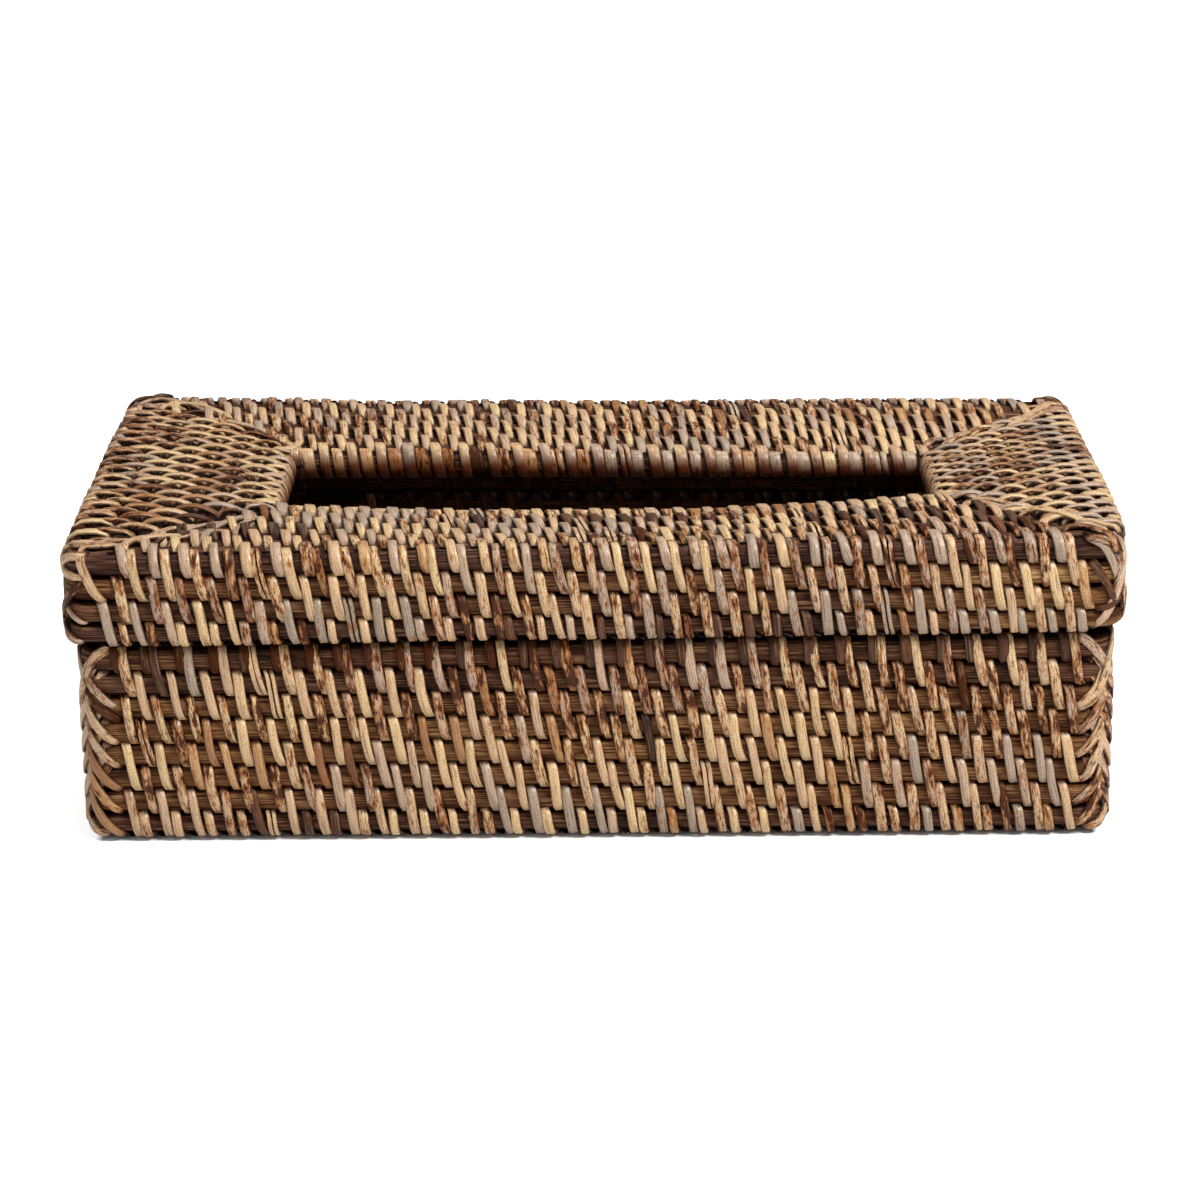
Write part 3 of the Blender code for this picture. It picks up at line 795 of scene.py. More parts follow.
def lid_corner(corner, look):
    """Long crossing strands laced round an upright corner of the lid, the same way at opposite corners."""
    pile = Pile()
    name = CORNER_NAMES[corner]
    strands = LOOP_CORNER if name in ("front_left", "back_right") else SWEEP_CORNER
    for at, (tone, breadth, route) in enumerate(strands):
        # The last two run down beside the corner and lie close.
        extra = 0.12 * (at % 3) if at < len(strands) - 2 else -0.5
        corner_strand(pile, "skirt_cane_2", corner, route, tone, STRIP_WIDTH * breadth, extra=extra,
                      wear=random.uniform())
    pile.build(f"lid_corner_lacing_{name}", "lid", look, (f"lid_corner_binding_{name}",))


# Strands over the mitres: tone, breadth, and the courses of the long side and of the end side that they pass
FRONT_LEFT_MITRE = (
    (0.30, 0.90, ((0.9, -0.5), (0.6, 0.1), (0.5, 0.8), (0.7, 1.6))),
    (0.52, 0.90, ((0.5, -0.3), (0.3, 0.3), (0.3, 0.9), (0.6, 1.7))),
    (0.42, 0.80, ((1.6, 2.7), (2.3, 3.0), (3.0, 3.7), (3.3, 4.6))),
    (0.15, 0.70, ((1.9, 3.9), (2.8, 4.1), (3.6, 4.8), (4.0, 5.8))),
    (0.44, 0.60, ((-0.9, 0.35), (-0.2, 0.25), (0.5, 0.5), (1.0, 1.2), (1.1, 2.2), (0.9, 3.0))),
    (0.46, 0.90, ((-0.3, 1.9), (0.6, 1.9), (1.3, 2.3), (1.7, 3.2), (1.7, 4.2))),
    (0.92, 0.60, ((0.8, 2.9), (1.6, 3.4), (2.4, 4.2), (2.9, 5.2))),
    (0.30, 0.60, ((0.6, 3.5), (1.4, 3.9), (2.2, 4.8), (2.7, 5.8))),
    (0.10, 0.90, ((0.8, 4.9), (2.0, 4.9), (3.4, 5.3), (4.6, 6.0), (5.0, 6.9))),
    (0.26, 0.60, ((1.0, 6.2), (2.4, 6.0), (3.8, 6.2), (4.4, 6.7), (4.0, 7.1))),
    (0.12, 0.60, ((5.6, 4.9), (6.0, 5.6), (5.4, 6.3), (4.4, 6.6))),
    (0.14, 0.60, ((6.4, 5.9), (6.7, 6.6), (6.1, 7.1), (5.2, 7.3))),
)
BACK_LEFT_MITRE = (
    (0.88, 1.00, ((2.2, -0.5), (0.9, -0.45), (0.0, 0.0), (-0.1, 0.7), (0.5, 1.5), (1.2, 2.4))),
    (0.30, 0.70, ((2.6, 0.0), (1.3, 0.0), (0.4, 0.4), (0.3, 1.0), (0.8, 1.9), (1.8, 3.0))),
    (0.50, 0.90, ((1.8, 0.7), (1.0, 1.4), (1.1, 2.4), (1.9, 3.3), (3.0, 4.2))),
    (0.94, 0.85, ((2.4, 1.7), (2.0, 2.5), (2.5, 3.4), (3.4, 4.3))),
    (0.30, 1.00, ((3.4, 2.6), (3.2, 3.6), (3.8, 4.6), (4.5, 5.5), (5.5, 6.2), (6.6, 6.9), (7.4, 7.3))),
    (0.78, 0.90, ((5.0, 4.6), (5.1, 5.4), (5.9, 6.2), (6.8, 6.8), (7.4, 7.0))),
    (0.66, 0.90, ((4.8, 5.9), (5.9, 6.6), (6.7, 7.0), (7.2, 7.3), (7.5, 7.6))),
    (0.60, 1.10, ((6.1, 6.3), (6.8, 6.9), (7.3, 7.2), (7.7, 7.3))),
    (0.58, 1.00, ((6.0, 7.4), (6.7, 7.35), (7.2, 7.2), (7.4, 6.8), (7.4, 6.2))),
)
FRONT_RIGHT_MITRE = (
    (0.32, 1.05, ((6.2, 7.5), (7.1, 6.9), (7.1, 6.2), (6.2, 5.7), (5.0, 5.0), (4.1, 4.1), (3.4, 3.0))),
    (0.44, 0.95, ((5.2, 6.4), (5.8, 5.4), (5.2, 4.6), (4.2, 3.8))),
    (0.62, 1.10, ((2.8, 5.0), (3.9, 4.0), (3.6, 3.0), (2.5, 1.8), (1.2, 0.9))),
    (0.56, 1.05, ((1.6, 3.2), (2.6, 2.2), (2.0, 1.4), (0.7, 0.7), (-0.5, 0.2))),
    (0.71, 1.00, ((0.8, 2.2), (0.8, 1.2), (-0.1, 0.5), (-0.8, -0.3))),
    (0.46, 0.95, ((1.7, 1.6), (1.4, 0.8), (0.8, 0.3), (0.4, -0.4))),
    (0.24, 0.90, ((1.5, 1.3), (1.1, 0.8), (0.6, 0.5), (0.3, 0.3))),
)
BACK_RIGHT_MITRE = (
    (0.22, 0.95, ((7.3, 7.4), (6.7, 7.2), (5.9, 6.9), (5.6, 6.4), (5.8, 5.8))),
    (0.34, 1.15, ((7.0, 6.3), (6.0, 5.9), (5.0, 5.2), (4.5, 4.5))),
    (0.70, 1.15, ((6.0, 5.2), (5.0, 4.5), (4.1, 3.6), (3.7, 3.0))),
    (0.12, 0.95, ((6.0, 4.1), (5.2, 3.8), (4.1, 3.2), (3.3, 2.4))),
    (0.50, 1.20, ((4.8, 2.9), (3.7, 2.2), (2.4, 1.3), (1.0, 0.4), (0.0, -0.2))),
    (0.38, 0.95, ((3.7, 1.8), (2.8, 1.0), (1.8, 0.3), (1.6, -0.6))),
    (0.97, 1.50, ((-0.15, 1.0), (-0.1, 0.7), (-0.05, 0.4), (0.1, 0.1))),
)
MITRES = {"front_right": FRONT_RIGHT_MITRE, "back_right": BACK_RIGHT_MITRE,
          "back_left": BACK_LEFT_MITRE, "front_left": FRONT_LEFT_MITRE}


def top_surface(x, y):
    """Height and normal of the lid's top, dished towards the slot and rounded over at its outer edge."""
    courses, insets = [], []
    for side, (_, (ix, iy)) in SIDES.items():
        inset = LID_HALF[side] + ix * x + iy * y
        outer, inner = TOP_SPANS[side]
        insets.append(inset)
        courses.append((inset - outer) / (inner - outer) * TOP_COURSES)
    normals = np.zeros(x.shape + (3,))
    short = np.clip(1.0 - np.array(insets) / EDGE_RADIUS, 0.0, 1.25)
    for lack, (_, (ix, iy)) in zip(short, SIDES.values()):
        normals[..., 0] -= ix * lack
        normals[..., 1] -= iy * lack
    lean = np.minimum(np.linalg.norm(normals[..., :2], axis=-1), 0.98)
    normals[..., 2] = np.sqrt(1.0 - lean**2)
    past_edge = np.clip(short.max(axis=0) - 1.0, 0.0, None) * 6.0 * MM
    height = TOP - sag_at(np.min(courses, axis=0)) - EDGE_RADIUS * (1.0 - normals[..., 2]) - past_edge
    return height, unit(normals)


def mitre_lacing(corner, look):
    """Strips that turn from one side's lashing into the next side's over the mitre, each over the start of
    another."""
    pile = Pile()
    name = CORNER_NAMES[corner]
    long_side, end_side = name.split("_")
    share = STRAND.shares
    # Both ends dive into the top over this share of a strip's length.
    dive = np.clip((0.13 - np.minimum(share, 1.0 - share)) / 0.13, 0.0, 1.0) ** 2
    for at, (tone, breadth, route) in enumerate(MITRES[name]):
        courses = smooth_path(route, share)
        x = -SIDES[end_side][1][0] * (LID_HALF[end_side] - inset_at(end_side, courses[:, 1]))
        y = -SIDES[long_side][1][1] * (LID_HALF[long_side] - inset_at(long_side, courses[:, 0]))
        height, normals = top_surface(x, y)
        lift = 0.35 + 0.14 * (at % 3) + 0.22 * np.sin(np.pi * share) - 3.2 * dive
        points = np.stack([x, y, height], axis=-1) + normals * (lift * MM)[:, None]
        lay_one(pile, STRAND, points, normals, STRIP_WIDTH * breadth, STRIP_THICKNESS, tone,
                random.uniform(0.2, 0.8), None, STRAND_SHADE_ALONG)
    pile.build(f"mitre_lacing_{name}", "lid", look, (f"mitre_binding_{name}",))


def lash_lid(look):
    """The rows outside the lid: down its skirt, over its edge, over its top and round its slot."""
    # Shift along the row, mix, ends, breadth, wear and profile of each row of the skirt
    under = {"depth": WALL_CANE, "under": True}
    rows = {
        "lid_brow_lashing": (0.0, PLAIN, BROW_ENDS, 1.0, EDGE_WEAR, brow_profile()),
        "lid_skirt_lashing_1": (0.5, PLAIN, LID_ENDS, 1.0, 1.0, wall_profile(SKIRT_GAPS[1], SKIRT_GAPS[3])),
        "lid_skirt_lashing_2": (0.0, ROSY, LID_ENDS, 1.0, 1.0,
                                wall_profile(SKIRT_LOW, SKIRT_GAPS[2], **under)),
        "lid_hem_lashing": (0.42, HEM, LID_ENDS, HEM_BREADTH, 1.0,
                            wall_profile(SKIRT_LOW, SKIRT_GAPS[1], **under)),
    }
    for name, (shift, mix, ends, breadth, wearing, profile) in rows.items():
        pile = Pile()
        for side in SIDES:
            places = row_places(wall_limits(SKIRT, side, ends), LID_LATTICE, shift)
            lay_row(pile, SKIRT, side, profile, places, LEAN, mix, STRIP_WIDTH * breadth, wearing=wearing)
        pile.build(name, "lid", look)
    crest, rim = Pile(), Pile()
    for side in SIDES:
        panel = side in SHORT_SIDES
        limits = mitre_limits(side, 0.2 if panel else 0.9)
        places = row_places(limits, LID_LATTICE, -0.5, CREST_ENDS[side], TOP_STRAY)
        lay_row(crest, SKIRT, side, crest_profile(side), places, LEAN * 0.9, CLEAN if panel else SHADED,
                STRIP_WIDTH * CREST_BREADTH, wearing=1.0 if panel else EDGE_WEAR)
    crest.build("lid_crest_lashing", "lid", look)
    for number in range(TOP_COURSES - 1):
        pile = Pile()
        for side in SIDES:
            panel = side in SHORT_SIDES
            end = PANEL_END if panel else BACK_EDGE_END if (side, number) == ("back", 0) else TOP_END
            limits = mitre_limits(side, number + (1.25 if not panel else 0.9 if number else 0.5))
            shift = 0.12 + 0.5 * number + random.normal(0.0, SHIFT_STRAY)
            places = row_places(limits, LID_LATTICE, shift, end, TOP_STRAY)
            lay_row(pile, SKIRT, side, top_profile(side, number, TOP_RISES[number]), places,
                    PANEL_LEAN if panel else LEAN * 1.1, TOP_BANDS.get((side, number), TOP_MIXES[side]),
                    STRIP_WIDTH * (0.92 if panel else 1.0))
        pile.build(f"lid_top_lashing_{number + 1}", "lid", look)
    for side in SIDES:
        panel = side in SHORT_SIDES
        limits = mitre_limits(side, TOP_COURSES + 0.15)
        for whole, shift in ((True, 0.12), (False, 0.62)):
            places = row_places(limits, LID_LATTICE, shift)
            parts = [(places, CLEAN)]
            if not panel and not whole:
                # Short strips are brown towards the left end of the slot's far side.
                parts = [(places[places < 0.0], SHADED), (places[places >= 0.0], BARK)]
            for part, mix in parts:
                lay_row(rim, SKIRT, side, rim_profile(side, whole), part, PANEL_LEAN if panel else RIM_LEAN,
                        mix, RIM_WIDTH * (0.8 if panel else 1.0 if whole else SHORT_RIM_BREADTH),
                        STRIP_THICKNESS * (1.0 if whole else 0.85), 0.3, RIM_SHADE_ALONG, 0.4 if whole else 0.7)
    rim.build("slot_rim_lashing", "lid", look)


def lash_lid_inside(look):
    """The backs of the lid's rows, seen through the slot and with the lid off."""
    skirt, top = Pile(), Pile()
    for side in SIDES:
        limits = wall_limits(SKIRT, side, LID_ENDS)
        for number in range(SKIRT_COURSES - 1):
            places = row_places(limits, LID_LATTICE, 0.5 * (number % 2))
            profile = inner_profile(WALL_CANE - 0.1 * MM, SKIRT_GAPS[number], SKIRT_GAPS[number + 2])
            lay_row(skirt, SKIRT, side, profile, places, **HIDDEN)
    skirt.build("lid_skirt_inner_lashing", "lid", look)
    for number in range(TOP_COURSES - 1):
        for side in SIDES:
            limits = mitre_limits(side, number + 1.6)
            places = row_places(limits, LID_LATTICE, 0.5 * (number % 2), PANEL_END)
            lay_row(top, SKIRT, side, under_profile(side, number), places, **HIDDEN)
    top.build("lid_top_inner_lashing", "lid", look)


def lash_base(look):
    """The rows outside and inside the wall, the single rows at its foot and rim, and those on the collar."""
    last = WALL_COURSES - 1
    for number in range(1, WALL_COURSES):
        outside, inside = Pile(), Pile()
        low, high = WALL_GAPS[number - 1], WALL_GAPS[number + 1]
        profile = wall_profile(low, high, WALL_CANE, over=number == last, under=number == 1)
        shift = 0.5 * ((last - number) % 2) + random.normal(0.0, SHIFT_STRAY)
        for side in SIDES:
            places = row_places(wall_limits(WALL, side, BASE_ENDS), BASE_LATTICE, shift)
            lay_row(outside, WALL, side, profile, places, LEAN, WARM if number < last else PLAIN)
            back = inner_profile(WALL_CANE, low, high - WRAP * (number == last))
            lay_row(inside, WALL, side, back, places, **HIDDEN)
        outside.build(f"base_wall_lashing_{number}", "base", look)
        inside.build(f"base_inner_lashing_{number}", "base", look)
    foot, rim, collar = Pile(), Pile(), Pile()
    for side in SIDES:
        limits = wall_limits(WALL, side, BASE_ENDS)
        profile = wall_profile(*WALL_GAPS[:2], WALL_CANE, under=True)
        lay_row(foot, WALL, side, profile, row_places(limits, BASE_LATTICE, 0.40), LEAN, GOLDEN)
        profile = wall_profile(*WALL_GAPS[-2:], WALL_CANE, over=True)
        lay_row(rim, WALL, side, profile, row_places(limits, BASE_LATTICE, -0.35), LEAN * 0.7, DULL)
    foot.build("base_foot_lashing", "base", look)
    rim.build("base_rim_lashing", "base", look)
    for side in SIDES:
        places = row_places(wall_limits(COLLAR, side, BASE_ENDS), BASE_LATTICE, 0.5)
        profile = wall_profile(COLLAR_LOW, COLLAR_HIGH, COLLAR_CANE - 0.5 * MM, over=True)
        outer = [(inset + 0.55 * MM, height) for inset, height in profile]
        lay_row(collar, COLLAR, side, outer, places, **{**HIDDEN, "mix": PLAIN})
        back = inner_profile(COLLAR_CANE, COLLAR_LOW, COLLAR_HIGH - WRAP)
        lay_row(collar, COLLAR, side, back, places, **HIDDEN)
    collar.build("collar_lashing", "base", look)


def bottom(cane, lacing):
    """Canes side by side along the box, lashed above and below."""
    low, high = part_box("bottom_panel")
    pitch = (high.y - low.y) / BOTTOM_CANES
    pile, strips = Pile(), Pile()
    for number in range(BOTTOM_CANES):
        # The outermost canes are a little shorter.
        reach = high.x - (0.9 * MM if number in (0, BOTTOM_CANES - 1) else 0.3 * MM)
        y, z = low.y + (number + 0.5) * pitch, low.z + 0.75 * MM
        centres = np.linspace((-reach, y, z), (reach, y, z), len(SHORT_CANE.shares))
        up = np.zeros_like(centres) + (0.0, 0.0, 1.0)
        lay_one(pile, SHORT_CANE, centres, up, pitch - CANE_GAP, BOTTOM_CROWN, random.uniform(0.2, 0.6))
    pile.build("bottom_canes", "base", cane, ("bottom_panel",))
    share = STRIP.shares
    for row in range(BOTTOM_CANES - 1):
        places = row_places((low.x, high.x), (BASE_LATTICE[0], 0.0), 0.5 * (row % 2), BOTTOM_END)
        for level, facing in ((low.z + 0.68 * MM, -1.0), (low.z + 3.4 * MM, 1.0)):
            along = places[:, None] + 0.28 * pitch * (share - 0.5)[None]
            across = low.y + (row + 2.0 * share[None]) * pitch
            height = level - facing * 1.3 * MM * np.abs(2.0 * share[None] - 1.0) ** 5
            centres = np.stack(np.broadcast_arrays(along, across, height), axis=-1)
            normals = np.zeros_like(centres) + (0.0, 0.0, facing)
            tones, wear = strip_tones(len(places), PLAIN)
            lay(strips, STRIP, centres, normals, STRIP_WIDTH * random.uniform(0.85, 1.1, len(places)),
                INNER_THICKNESS, tones, wear)
    strips.build("bottom_lashing", "base", lacing)


def canes(look):
    """The canes of the wall, the collar, the skirt, the top and the slot's rim."""
    for number, tone in enumerate(WALL_CANE_TONES, 1):
        ring_cane(f"base_wall_cane_{number}", f"wall_cane_{number}", "base", WALL_CANE, WALL_CANE, look,
                  number % 2, tone, trim=(WRAP * (number == 1), WRAP * (number == WALL_COURSES)))
    for number in range(1, COLLAR_COURSES + 1):
        ring_cane(f"base_collar_cane_{number}", f"collar_cane_{number}", "base", COLLAR_CANE, COLLAR_CROWN,
                  look, number % 2, 0.35,
                  trim=(-1.2 * WRAP * (number == 1), WRAP * (number == COLLAR_COURSES)))
    for number, (tone, pale) in enumerate(zip(SKIRT_CANE_TONES, SKIRT_CANE_PALENESS), 1):
        ring_cane(f"lid_skirt_cane_{number}", f"skirt_cane_{number}", "lid", WALL_CANE, WALL_CANE, look,
                  number % 2, tone, trim=(WRAP * (number == SKIRT_COURSES), 0.0), pale=pale)
    for side in SIDES:
        for number in range(1, TOP_COURSES + 1):
            top_cane(side, number, look)
    ring_cane("lid_slot_rim_cane", "slot_rim_cane", "lid", RIM_CANE, RIM_CROWN, look, 0, 0.2, -1.0,
              (1.2 * MM, 0.0))


def linear(code):
    """An sRGB hex colour as linear values with alpha."""
    parts = [int(code[at:at + 2], 16) / 255.0 for at in (1, 3, 5)]
    return tuple(((c + 0.055) / 1.055) ** 2.4 if c > 0.04045 else c / 12.92 for c in parts) + (1.0,)


def add_node(tree, kind, settings, links=None, stops=(), output=0):
    """Adds a node and gives back one of its outputs. settings are properties, or inputs by name or number;
    links are the sources of its inputs; stops are a colour ramp's (position, hex colour or grey)."""
    made = tree.nodes.new(kind)
    for key, value in settings.items():
        if isinstance(key, int) or key in made.inputs:
            made.inputs[key].default_value = value
        else:
            setattr(made, key, value)
    for key, source in (links or {}).items():
        tree.links.new(source, made.inputs[key])
    for at, (position, colour) in enumerate(stops):
        bands = made.color_ramp.elements
        band = bands[at] if at < len(bands) else bands.new(position)
        band.position = position
        band.color = linear(colour) if isinstance(colour, str) else (colour, colour, colour, 1.0)
    return made.outputs[output]


RAMP = "ShaderNodeValToRGB"
BLEND = "ShaderNodeMix"
MATHS = "ShaderNodeMath"
BLEND_OUTPUT = 2
# Inputs of a blend by number: its factor, the colour below and the colour above
FACTOR, BELOW, ABOVE = 0, 6, 7
MULTIPLY = {"data_type": "RGBA", "blend_type": "MULTIPLY"}
COVER = {"data_type": "RGBA", "blend_type": "MIX"}


def lengthwise_pattern(tree, across, along, detail, rough):
    """Noise on the piece's own UV map, with features that many mm across and along the strip."""
    uv = add_node(tree, "ShaderNodeUVMap", {"uv_map": "lay"})
    scaled = add_node(tree, "ShaderNodeMapping", {"Scale": (1.0 / across, 1.0 / along, 1.0)}, {"Vector": uv})
    return add_node(tree, "ShaderNodeTexNoise", {"Scale": 1.0, "Detail": detail, "Roughness": rough},
                    {"Vector": scaled})


def product(tree, *masks):
    """One mask times another, each given as what its ramp reads and the ramp's stops."""
    first, second = (add_node(tree, RAMP, {}, {"Fac": source}, stops) for source, stops in masks)
    return add_node(tree, MATHS, {"operation": "MULTIPLY"}, {0: first, 1: second})


def painted(tree, colour, layers):
    """A colour with layers over it. A shade is what its ramp reads, the ramp's stops and how much of it
    shows; a coat is its mask and its hex colour."""
    for source, paint, *strength in layers:
        if strength:
            shade = add_node(tree, RAMP, {}, {"Fac": source}, paint)
            settings, links = {**MULTIPLY, FACTOR: strength[0]}, {BELOW: colour, ABOVE: shade}
        else:
            settings, links = {**COVER, ABOVE: linear(paint)}, {FACTOR: source, BELOW: colour}
        colour = add_node(tree, BLEND, settings, links, output=BLEND_OUTPUT)
    return colour


def new_material(name):
    """A material with its tree, its shader, and the sockets of every strip's tone, wear, place across and
    place along; the last two say where the painted shade of edges, grooves and tucked-in ends falls."""
    made = bpy.data.materials.new(name)
    made.use_nodes = True
    tree = made.node_tree
    grade = add_node(tree, "ShaderNodeVertexColor", {"layer_name": "grade"})
    parts = add_node(tree, "ShaderNodeSeparateColor", {}, {"Color": grade}).node.outputs
    return made, tree, tree.nodes["Principled BSDF"], *parts[:3], grade.node.outputs["Alpha"]


def peeled_lacing():
    """Peel of rattan, scraped and smoked: tan to grey-brown from strip to strip, with fibres that run along
    it, rusty stains and dark dashes where the skin is broken, and a low sheen."""
    made, tree, shader, tone, wear, across, along = new_material("peeled_lacing")
    colour = add_node(tree, RAMP, {}, {"Fac": tone}, [
        (0.00, "#9b8b77"), (0.14, "#ad9681"), (0.28, "#bc9f84"), (0.40, "#c7a580"), (0.52, "#cfad82"),
        (0.62, "#d6b888"), (0.69, "#c9aa7d"), (0.76, "#bc9160"), (0.82, "#845433"), (0.88, "#54382a"),
        (1.00, "#38251c")])
    # Fibres are 0.2 mm wide in the real peel; they are drawn 0.34 mm wide to show.
    fibres = lengthwise_pattern(tree, 0.34, 9.0, 3.0, 0.6)
    specks = lengthwise_pattern(tree, 0.40, 0.40, 2.0, 0.6)
    # Frayed strips, which are the dark ones, show pale fibres.
    frayed = product(tree, (lengthwise_pattern(tree, 0.28, 14.0, 2.0, 0.6), [(0.54, 0.0), (0.66, 1.0)]),
                     (tone, [(0.83, 0.0), (0.90, 0.75)]))
    stains = lengthwise_pattern(tree, 1.2, 4.8, 4.0, 0.68)
    stains = add_node(tree, MATHS, {"operation": "MULTIPLY_ADD", 1: 0.26}, {0: wear, 2: stains})
    # Rusty strips are blotched all over.
    blotched = add_node(tree, RAMP, {}, {"Fac": tone}, [(0.68, 0.0), (0.71, 0.085), (0.82, 0.085)])
    stains = add_node(tree, MATHS, {"operation": "ADD"}, {0: stains, 1: blotched})
    rust = product(tree, (stains, [(0.682, 0.0), (0.715, 0.85)]), (tone, [(0.79, 1.0), (0.86, 0.15)]))
    bare = add_node(tree, RAMP, {}, {"Fac": stains}, [(0.772, 0.0), (0.792, 1.0)])
    dashes = product(tree, (lengthwise_pattern(tree, 0.36, 2.2, 3.0, 0.7), [(0.565, 0.0), (0.59, 1.0)]),
                     (wear, [(0.30, 0.1), (0.62, 1.0)]))
    colour = painted(tree, colour, (
        (fibres, [(0.33, "#6e5746"), (0.46, "#e6dccf"), (0.62, "#ffffff")], 0.8),
        (specks, [(0.34, "#a39180"), (0.52, "#ffffff")], 0.7),
        (frayed, "#8f7058"),
        (rust, "#8c5429"),
        (bare, "#41200f"),
        (dashes, "#321a0e"),
        # Darker along both edges: partly stain, partly painted shade where the edges meet the canes.
        (across, [(0.0, "#5c402c"), (0.10, "#ffffff"), (0.90, "#ffffff"), (1.0, "#5c402c")], 0.85),
        # Painted shade: both ends are darkened where they are tucked into the gaps.
        (along, [(0.0, "#1c0b05"), (0.07, "#7d492c"), (0.14, "#ffffff"), (0.87, "#ffffff"),
                 (0.955, "#7d492c"), (1.0, "#1c0b05")], 1.0)))
    sheen = add_node(tree, RAMP, {}, {"Fac": fibres}, [(0.2, 0.30), (0.8, 0.50)])
    # Stained places don't shine.
    gloss = product(tree, (tone, [(0.72, 0.58), (0.88, 0.12)]), (stains, [(0.665, 1.0), (0.76, 0.25)]))
    bump = add_node(tree, "ShaderNodeBump", {"Strength": 0.6, "Distance": 0.00012}, {"Height": fibres})
    shader.inputs["IOR"].default_value = 1.48
    for socket, source in {"Base Color": colour, "Roughness": sheen, "Specular IOR Level": gloss,
                           "Normal": bump}.items():
        tree.links.new(source, shader.inputs[socket])
    return "peeled_lacing", made


def split_cane():
    """Heart of split rattan, stained dark: long coarse fibres from dark to mid brown, dull where it was
    split, and painted nearly black in the grooves between the canes as painted shade."""
    made, tree, shader, tone, wear, across, _ = new_material("split_cane")
    colour = add_node(tree, RAMP, {}, {"Fac": tone}, [
        (0.0, "#33221b"), (0.12, "#4f362e"), (0.30, "#664636"), (0.55, "#87603f"), (0.78, "#a67f52"),
        (1.0, "#d0b07a")])
    drift = lengthwise_pattern(tree, 7.0, 36.0, 2.0, 0.5)
    pale = add_node(tree, RAMP, {}, {"Fac": drift}, [(0.60, 0.0), (0.70, 0.5)])
    pale = add_node(tree, MATHS, {"operation": "MULTIPLY"}, {0: pale, 1: wear})
    # Fibres are 0.25 mm wide in the real cane; they are drawn 0.36 mm wide to show.
    fibres = lengthwise_pattern(tree, 0.36, 16.0, 4.0, 0.65)
    light = add_node(tree, RAMP, {}, {"Fac": fibres}, [(0.57, 0.0), (0.68, 0.5)])
    colour = painted(tree, colour, (
        (drift, [(0.36, "#7c6558"), (0.5, "#d8ccc2"), (0.62, "#ffffff")], 0.85),
        (pale, "#a07a4a"),
        (fibres, [(0.36, "#54392a"), (0.46, "#ae947e"), (0.56, "#ffffff")], 1.0),
        (light, "#a88256"),
        # Painted shade in the grooves between the canes
        (across, [(0.0, "#1f0f08"), (0.07, "#5f4130"), (0.18, "#ffffff"), (0.84, "#ffffff"),
                  (0.94, "#7c5c48"), (1.0, "#2c1a10")], 1.0)))
    sheen = add_node(tree, RAMP, {}, {"Fac": fibres}, [(0.2, 0.72), (0.8, 0.52)])
    bump = add_node(tree, "ShaderNodeBump", {"Strength": 0.8, "Distance": 0.00025}, {"Height": fibres})
    shader.inputs["Specular IOR Level"].default_value = 0.08
    for socket, source in {"Base Color": colour, "Roughness": sheen, "Normal": bump}.items():
        tree.links.new(source, shader.inputs[socket])
    return "split_cane", made


WHITE = (1.0, 1.0, 1.0, 1.0)
# The room's light on the box, and what the floor shows the camera beyond the light that falls on it
ROOM_LIGHT = 0.30
FLOOR_GLOW = 0.72
# The box's foot, where the floor has no glow, and how far out from there it has reached its full glow. The
# band where the glow fades is a painted shade round the foot, besides the real shadow that it lets show.
FOOTPRINT = (127.0 * MM, 67.6 * MM)
SHADOW_REACH = 2.0 * MM
# Lamps: name, place, breadth and power, all turned to one place on the box
LAMPS = (("key", (0.85, -0.70, 1.4), 0.6, 37.5), ("fill", (-0.9, -1.3, 0.8), 1.2, 4.0),
         ("top", (0.15, 0.45, 1.5), 0.7, 9.0))
LIT_PLACE = Vector((0.0, 0.0, 0.04))


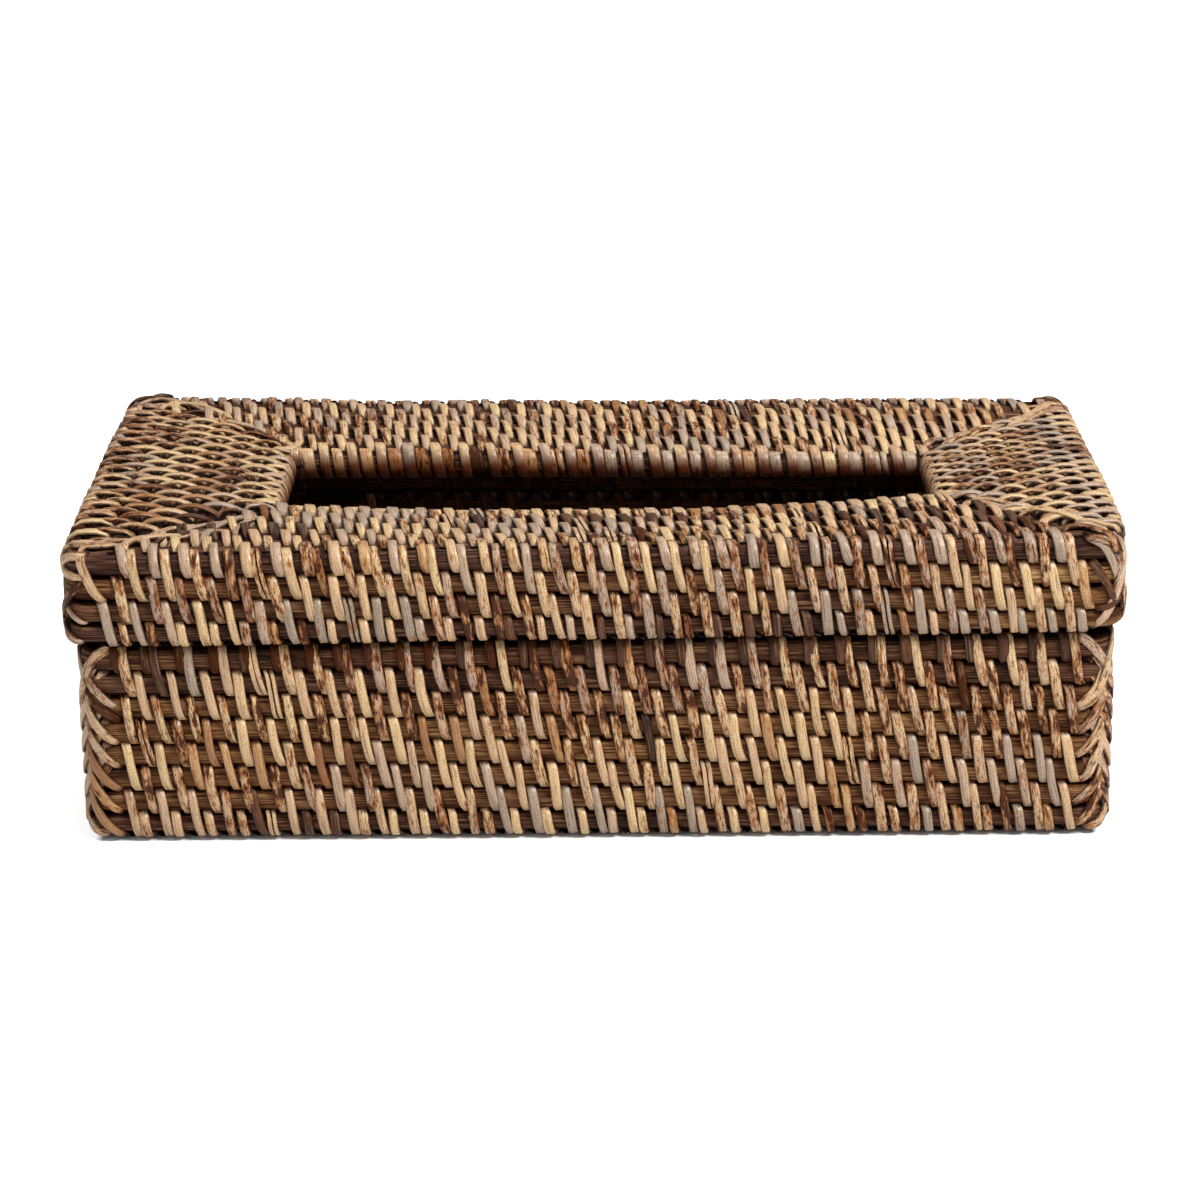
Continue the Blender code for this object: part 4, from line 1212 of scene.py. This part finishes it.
def backdrop():
    """A white floor that keeps the box's shadow, and white all round it."""
    deselect()
    bpy.ops.mesh.primitive_plane_add(size=8.0, location=(0.0, 1.5, 0.0))
    floor = bpy.context.object
    floor.name = "floor"
    bpy.ops.object.transform_apply(location=True, rotation=True, scale=True)
    made = bpy.data.materials.new("white_paper")
    made.use_nodes = True
    tree = made.node_tree
    shader = tree.nodes["Principled BSDF"]
    shader.inputs["Base Color"].default_value = linear("#f4f4f4")
    shader.inputs["Roughness"].default_value = 0.9
    rays = add_node(tree, "ShaderNodeLightPath", {})
    here = add_node(tree, "ShaderNodeTexCoord", {}).node.outputs["Object"]
    parts = add_node(tree, "ShaderNodeSeparateXYZ", {}, {0: here}).node.outputs
    beyond = []
    for part, reach in zip(parts, FOOTPRINT):
        part = add_node(tree, MATHS, {"operation": "ABSOLUTE"}, {0: part})
        beyond.append(add_node(tree, MATHS, {"operation": "SUBTRACT", 1: reach}, {0: part}))
    beyond = add_node(tree, MATHS, {"operation": "MAXIMUM"}, {0: beyond[0], 1: beyond[1]})
    clear = add_node(tree, "ShaderNodeMapRange", {"From Min": 0.0, "From Max": SHADOW_REACH,
                                                  "To Max": FLOOR_GLOW}, {"Value": beyond})
    clear = add_node(tree, MATHS, {"operation": "MULTIPLY"}, {0: rays, 1: clear})
    glow = add_node(tree, "ShaderNodeEmission", {"Color": WHITE}, {"Strength": clear})
    both = add_node(tree, "ShaderNodeAddShader", {}, {0: shader.outputs["BSDF"], 1: glow})
    tree.links.new(both, tree.nodes["Material Output"].inputs["Surface"])
    floor.data.materials.append(made)
    world = bpy.data.worlds.new("studio")
    bpy.context.scene.world = world
    world.use_nodes = True
    tree = world.node_tree
    soft = tree.nodes["Background"]
    soft.inputs["Color"].default_value = WHITE
    soft.inputs["Strength"].default_value = ROOM_LIGHT
    white = add_node(tree, "ShaderNodeBackground", {"Color": WHITE, "Strength": 1.0})
    rays = add_node(tree, "ShaderNodeLightPath", {})
    mixed = add_node(tree, "ShaderNodeMixShader", {}, {0: rays, 1: soft.outputs["Background"], 2: white})
    tree.links.new(mixed, tree.nodes["World Output"].inputs["Surface"])


def lamp(name, place_at, size, power):
    data = bpy.data.lights.new(name, "AREA")
    data.shape = "DISK"
    data.size = size
    data.energy = power
    made = add_object(name, data)
    made.location = place_at
    made.rotation_euler = (LIT_PLACE - Vector(place_at)).to_track_quat("-Z", "Y").to_euler()


# Camera of the photograph: focal length in pixels of a 1200-pixel frame, place, and angles
SENSOR = 36.0
FOCAL_PIXELS = 3528.0
FRAME_PIXELS = 1200.0
EYE = (0.0123, -0.9045, 0.3489)
PITCH, YAW, ROLL = (math.radians(angle) for angle in (18.78, -0.734, -0.676))


def camera():
    data = bpy.data.cameras.new("camera")
    data.sensor_width = SENSOR
    data.lens = SENSOR * FOCAL_PIXELS / FRAME_PIXELS
    made = add_object("camera", data)
    forward = Vector((math.sin(YAW) * math.cos(PITCH), math.cos(YAW) * math.cos(PITCH), -math.sin(PITCH)))
    right = Vector((math.cos(YAW), -math.sin(YAW), 0.0))
    up = right.cross(forward)
    right, up = right * math.cos(ROLL) + up * math.sin(ROLL), up * math.cos(ROLL) - right * math.sin(ROLL)
    turn = Matrix((right, up, -forward)).transposed()
    made.matrix_world = Matrix.Translation(EYE) @ turn.to_4x4()
    bpy.context.scene.camera = made


def main():
    lacing = peeled_lacing()
    cane = split_cane()
    canes(cane)
    bottom(cane, lacing)
    lash_base(lacing)
    lash_lid(lacing)
    lash_lid_inside(lacing)
    for corner in range(4):
        base_corner(corner, lacing)
        lid_corner(corner, lacing)
        mitre_lacing(corner, lacing)
    backdrop()
    for settings in LAMPS:
        lamp(*settings)
    camera()
    bpy.context.scene.view_settings.view_transform = "Standard"


main()
